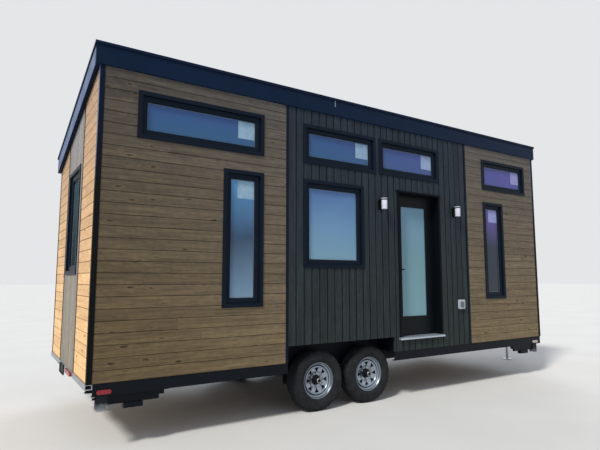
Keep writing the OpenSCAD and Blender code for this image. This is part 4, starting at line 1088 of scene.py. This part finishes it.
# %% Copy the wheels to the four corners
corners = ("rear_left", "rear_right", "front_left", "front_right")
for corner in corners:
    low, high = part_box(corner + "_tyre")
    place = Matrix.Translation((low + high) / 2)
    if corner.endswith("right"):
        place = place @ Matrix.Rotation(math.pi, 4, "Z")
    place = place @ Matrix.Translation(-wheel_middle)
    put(copy_of(tyre, place, corner + "_treaded_tyre"), corner, "tyre", rubber, corner + "_tyre")
    put(copy_of(white_wheel, place, corner + "_steel_wheel"), corner, "wheel_paint", wheel_coat,
        corner + "_wheel")
    put(copy_of(bright_fittings, place, corner + "_hub_fittings"), corner, "zinc_steel", plated_steel)
    put(copy_of(dark_hub, place, corner + "_hub_drum"), corner, "frame_steel", dark_steel)
discard(tyre, white_wheel, bright_fittings, dark_hub)

# %% [markdown]
# ## Wall lamps and outlet cover
# Each lamp is an opal glass cylinder in a dark ring with a pale flat cap, carried on an
# oval plate. The plate is a block whose corners are bevelled so far that it turns oval.

# %% Lamps
shade_low, shade_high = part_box("lamp_glasses")
shade_r = (shade_high.y - shade_low.y) / 2
shade_y = (shade_high.y + shade_low.y) / 2
shade_z = (shade_high.z + shade_low.z) / 2
half_h = (shade_high.z - shade_low.z) / 2
plate_w, plate_h, plate_t, plate_corner = 0.070, 0.150, 0.014, 0.034
arm_w, arm_h, arm_down = 0.018, 0.022, 0.004
fixtures, shades, lids = [], [], []
for lamp_x in (shade_low.x + shade_r, shade_high.x - shade_r):
    centre = (lamp_x, shade_y, shade_z)
    plate = block("plate", (lamp_x - plate_w / 2, face_y - plate_t, shade_z - plate_h / 2),
                  (lamp_x + plate_w / 2, face_y, shade_z + plate_h / 2))
    rounded(plate, plate_corner, 10)
    pick(plate, "FACE", lambda face: facing(face, 1, -1))
    bpy.ops.mesh.inset(thickness=0.006)
    extrude(0, -0.0015, 0)
    close()
    arm_top = shade_z + half_h - arm_down
    arm = block("arm", (lamp_x - arm_w / 2, shade_y + shade_r - 0.004, arm_top - arm_h),
                (lamp_x + arm_w / 2, face_y - plate_t + 0.002, arm_top))
    eased(arm, 0.004, 3)
    band_low, band_high = half_h - 0.011, half_h + 0.002
    band_section = [(band_low, shade_r - 0.001), (band_low, shade_r + 0.0035),
                    (band_low + 0.002, shade_r + 0.004), (band_high, shade_r + 0.004),
                    (band_high, shade_r - 0.001), (band_low, shade_r - 0.001)]
    band = turned("band", band_section, centre, (0, 0, 1), 40)
    lid_section = [(half_h + 0.001, 0.0), (half_h + 0.001, shade_r + 0.003),
                   (half_h + 0.003, shade_r + 0.004), (half_h + 0.013, shade_r + 0.004),
                   (half_h + 0.016, shade_r + 0.001), (half_h + 0.016, 0.0)]
    lids.append(turned("lid", lid_section, centre, (0, 0, 1), 40))
    fixtures += [plate, arm, band]
    shade_section = [(-half_h, 0.0), (-half_h, shade_r - 0.006), (-half_h + 0.002, shade_r - 0.0015),
                     (-half_h + 0.006, shade_r), (half_h, shade_r), (half_h, 0.0)]
    shades.append(turned("shade", shade_section, centre, (0, 0, 1), 40))
black_iron = coat_finish("black_lamp_enamel", "#0a0b0d", 0.38, 0.15, 0.05)
put(smooth(joined("lamp_fixtures", fixtures)), "house", "black_metal", black_iron, "lamp_brackets")
# painted light: the lilac tint on the white opal glass is painted sky light
opal = mottled("opal_glass", 9.0, 2.0, "#c9cde0", "#dde0f0",
               {"Roughness": 0.22, "Subsurface Weight": 0.15, "Subsurface Radius": (0.01, 0.01, 0.01)})
put(smooth(joined("lamp_shades", shades)), "house", "lamp_glass", opal, "lamp_glasses")
lid_coat = coat_finish("satin_grey_lamp_lid", "#a9b2ba", 0.40, 0.10, 0.4)
put(smooth(joined("lamp_lids", lids)), "house", "bare_aluminium", lid_coat)

# %% Outlet cover
cover_low, cover_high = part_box("outlet_cover")
lid_t, lid_w, lid_h, lid_shift = 0.012, 0.072, 0.082, 0.008
cover_middle = (cover_low + cover_high) / 2 - Vector((lid_shift, 0, 0))
cover = block("outlet_cover_dressed", cover_low + Vector((0, lid_t - 0.002, 0)), cover_high)
eased(rounded(cover, 0.016, 5), 0.006, 3)
socket_box = block("outlet_lid", (cover_middle.x - lid_w / 2, cover_low.y, cover_middle.z - lid_h / 2),
                   (cover_middle.x + lid_w / 2, cover_low.y + lid_t, cover_middle.z + lid_h / 2))
eased(socket_box, 0.003, 3)
grey_plastic = coat_finish("pale_grey_moulded_plastic", "#aab0b4", 0.50, 0.10, 0.4)
dark_plastic = coat_finish("blue_grey_moulded_plastic", "#56646f", 0.50, 0.10, 0.4)
put(cover, "house", "grey_plastic", grey_plastic, "outlet_cover")
put(socket_box, "house", "grey_plastic", dark_plastic)

# %% [markdown]
# ## Finishes of the solids that stay
# The trailer, the trims, the shell and the ironwork keep their shapes from the frame and
# only get their real finishes. The first two are for the trailer: a black enamel with little
# gloss, and hot dip zinc, which is dull and shows its spangle of grey crystals.

# %% Chassis enamel and zinc
chassis_coat = coat_finish("black_chassis_enamel", "#0b1119", 0.50, 0.30, 0.12)
zinc, place = new_finish("hot_dip_zinc")
# spangle crystals are 5 to 20 mm; each cell reflects a little differently
crystals = add(zinc, "TexVoronoi", {"Vector": place, "Scale": 1 / 0.014})
flake = add(zinc, "SeparateColor", {"Color": crystals.outputs["Color"]})
cloudy = add(zinc, "TexNoise", {"Vector": place, "Scale": 6.0, "Detail": 3.0})
blend = add(zinc, "Mix", {"Factor": 0.5, "A": flake.outputs["Red"], "B": cloudy})
bloom = add(zinc, "ValToRGB", {"Fac": blend}, stops=[(0.25, "#8b9298"), (0.75, "#b9bfc3")])
dulling = add(zinc, "MapRange", {"Value": blend, "To Min": 0.38, "To Max": 0.60})
surface(zinc, {"Base Color": bloom, "Metallic": 0.75, "Roughness": dulling})
print("finishes:", chassis_coat.name, zinc.name)

# %% [markdown]
# ## Stowed jacks
# The jacks are folded up under the house. They are black, with a worn zinc bracket at the
# end, which reaches 200 mm in from the end of the house. The brackets at the hitch end are
# painted duller, as painted shade. Place along the house tells the bracket from the rest of the jack.

# %% Black jacks with zinc ends
jack_coat, place = new_finish("black_jack_with_zinc_ends")
bracket_end, fade, worn_h = 0.205, 0.001, 0.05
behind = share(jack_coat, place, "X", rear_x + bracket_end + fade, rear_x + bracket_end)
# painted shade: the brackets at the hitch end take only 0.35 of the zinc
ahead = share(jack_coat, place, "X", front_x - bracket_end - fade, front_x - bracket_end, 0.35)
bracket = add(jack_coat, "Math", {"Value": behind, "Value_001": ahead}, operation="ADD")
jack_low, jack_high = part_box("corner_jacks")
wear = add(jack_coat, "TexNoise", {"Vector": place, "Scale": 30.0, "Detail": 3.0})
lower = share(jack_coat, place, "Z", jack_high.z - worn_h, jack_low.z)
worn = add(jack_coat, "Math", {"Value": wear, "Value_001": lower}, operation="MULTIPLY")
plating = add(jack_coat, "ValToRGB", {"Fac": worn}, stops=[(0.10, "#22282c"), (0.55, "#a3abb0")])
jack_colour = add(jack_coat, "Mix", {"Factor": bracket, "A": "#0b1119", "B": plating}, data_type="RGBA")
shine = add(jack_coat, "Math", {"Value": bracket, "Value_001": 0.6}, operation="MULTIPLY")
surface(jack_coat, {"Base Color": jack_colour, "Metallic": shine, "Roughness": 0.42,
                    "Specular IOR Level": 0.12})
print("brackets end", bracket_end, "m from the ends")

# %% [markdown]
# ## Plywood and brushed aluminium
# The bare sheathing shows only through the glass and from below: spruce plywood with broad,
# wavy grain about 36 mm wide. The door sill is aluminium with fine brush strokes along it.

# %% Plywood and aluminium
plywood, place = new_finish("spruce_plywood")
long_grain = add(plywood, "VectorMath", {"Vector": place, "Vector_001": counts(along_x, 1 / 28, 1 / 1.5)},
                 operation="MULTIPLY")
veneer = add(plywood, "TexNoise", {"Vector": long_grain, "Scale": 1.0, "Detail": 4.0, "Distortion": 0.4})
ply = add(plywood, "ValToRGB", {"Fac": veneer}, stops=[(0.3, "#a8875c"), (0.7, "#c9ab7e")])
surface(plywood, {"Base Color": ply, "Roughness": 0.75, "Specular IOR Level": 0.2})
alloy, place = new_finish("brushed_aluminium")
strokes = add(alloy, "VectorMath", {"Vector": place, "Vector_001": counts(along_x, 1 / 900, 1 / 6)},
              operation="MULTIPLY")
brush = add(alloy, "TexNoise", {"Vector": strokes, "Scale": 1.0, "Detail": 2.0})
worn = add(alloy, "MapRange", {"Value": brush, "To Min": 0.25, "To Max": 0.50})
sheen = add(alloy, "ValToRGB", {"Fac": brush}, stops=[(0.3, "#aab7c6"), (0.7, "#c6d1dd")])
surface(alloy, {"Base Color": sheen, "Metallic": 0.7, "Roughness": worn})
print("finishes:", plywood.name, alloy.name)

# %% [markdown]
# ## Marker lenses
# The markers and the rear light have red acrylic lenses with ribs 8 mm apart. The markers
# next to the hitch end have a clear lens instead, which looks pale and warm.

# %% Ribbed lenses
marker_end = 0.5
lens, place = new_finish("red_acrylic_lens")
ribs = add(lens, "TexWave", {"Vector": place, "Scale": 1 / 0.008, "Distortion": 0.0}, bands_direction="Z")
# painted shade: a red lens colour, darkened further for the shade on the long side
red = add(lens, "ValToRGB", {"Fac": ribs.outputs[1]}, stops=[(0.2, "#6e0d1a"), (0.8, "#a01826")])
clear = add(lens, "ValToRGB", {"Fac": ribs.outputs[1]}, stops=[(0.2, "#8d837b"), (0.8, "#c4bab1")])
ahead = share(lens, place, "X", front_x - marker_end - fade, front_x - marker_end)
glow = add(lens, "Mix", {"Factor": ahead, "A": red, "B": clear}, data_type="RGBA")
ridges = add(lens, "Bump", {"Height": ribs.outputs[1], "Strength": 0.3, "Distance": 0.001})
surface(lens, {"Base Color": glow, "Roughness": 0.30, "Coat Weight": 0.15, "Normal": ridges})
print("clear lenses within", marker_end, "m of the hitch end")

# %% Dress the solids
dress = {
    chassis_coat: ("main_rails", "cross_members", "side_rails", "front_channel", "tongue_beams", "axles",
                   "leaf_springs", "spring_hangers", "wheel_wells", "coupler"),
    jack_coat: ("corner_jacks",),
    zinc: ("rear_channel", "tongue_jack"),
    plywood: ("floor_deck", "front_wall_upper", "front_wall_rear", "front_wall_front", "back_wall",
              "rear_end_wall", "hitch_end_wall", "roof_panel"),
    navy_coat: ("joint_trims",),
    jamb_painted_shade: ("door_frame",),
    painted_sunlit_coat: ("gable_fascias", "corner_trims"),
    navy_painted_sky_reflection: ("eave_fascias",),
    alloy: ("door_sill",),
    black_iron: ("door_handle", "hinge_leaves", "hinge_posts", "plate_bracket"),
    lens: ("running_lights",),
}
for finish, names in dress.items():
    for name in names:
        for slot in nodes[name].material_slots:
            slot.link = "OBJECT"
            slot.material = finish
print("dressed", sum(len(names) for names in dress.values()), "nodes")

# %% [markdown]
# ## Studio
# The house stands on a plain, pale and matt floor, which shows its shadow.

# %% Floor
bpy.ops.object.select_all(action="DESELECT")
bpy.ops.mesh.primitive_plane_add(size=300, location=(0, 0, 0))
floor = bpy.context.object
floor.name = "studio_floor"
settle(floor)
floor.data.materials.append(mottled("matt_floor_paint", 0.8, 2.0, "#cfd0ce", "#d4d5d3",
                                    {"Roughness": 0.9, "Specular IOR Level": 0.1}))
print("floor", round(floor.dimensions.x), "m wide")

# %% [markdown]
# ## Light and backdrop
# A broad key lamp shines from above the rear end like the sun on a clear afternoon, so that
# end is bright and the long side is in soft light. A weaker and broader one fills in from
# behind the house. The camera, the glass and the metal see a pale backdrop, and everything
# else is lit by a weaker and bluer ambient light.

# %% Key, fill and world
def sun(name, aim, energy, spread, colour):
    """A distant lamp that shines from the side it is aimed at."""
    light = bpy.data.lights.new(name, "SUN")
    light.energy, light.angle, light.color = energy, math.radians(spread), colour
    lamp = bpy.data.objects.new(name, light)
    lamp.rotation_euler = Vector(aim).to_track_quat("Z", "Y").to_euler()
    bpy.context.scene.collection.objects.link(lamp)


sun("key", (-0.75, -0.35, 0.85), 2.98, 9, (1.0, 0.95, 0.88))
sun("fill", (0.6, 0.7, 0.5), 0.8, 30, (0.92, 0.96, 1.0))

studio = bpy.data.worlds.new("studio")
bpy.context.scene.world = studio
studio.use_nodes = True
studio.node_tree.nodes.clear()
path = add(studio, "LightPath").outputs
seen = add(studio, "Math", {"Value": path["Is Camera Ray"], "Value_001": path["Is Glossy Ray"]},
           operation="MAXIMUM")
seen = add(studio, "Math", {"Value": seen, "Value_001": path["Is Transmission Ray"]}, operation="MAXIMUM")
ambient = add(studio, "Background", {"Color": "#e8eefc", "Strength": 0.60})
backdrop = add(studio, "Background", {"Color": "#e4e6e8", "Strength": 1.0})
either = add(studio, "MixShader", {"Fac": seen, "Shader": ambient, "Shader_001": backdrop})
add(studio, "OutputWorld", {"Surface": either})
print(len(bpy.data.lights), "lamps and the ambient light")

# %% Camera and close
camera = bpy.data.cameras.new("camera")
camera.sensor_width, camera.lens = 36, 29.55
camera.clip_end = 500
view = bpy.data.objects.new("camera", camera)
view.location = (-5.233, -6.3398, 1.6388)
view.rotation_euler = (math.radians(96.217), 0, math.radians(-32.865))
bpy.context.scene.collection.objects.link(view)
bpy.context.scene.camera = view
bpy.context.scene.view_settings.view_transform = "Standard"
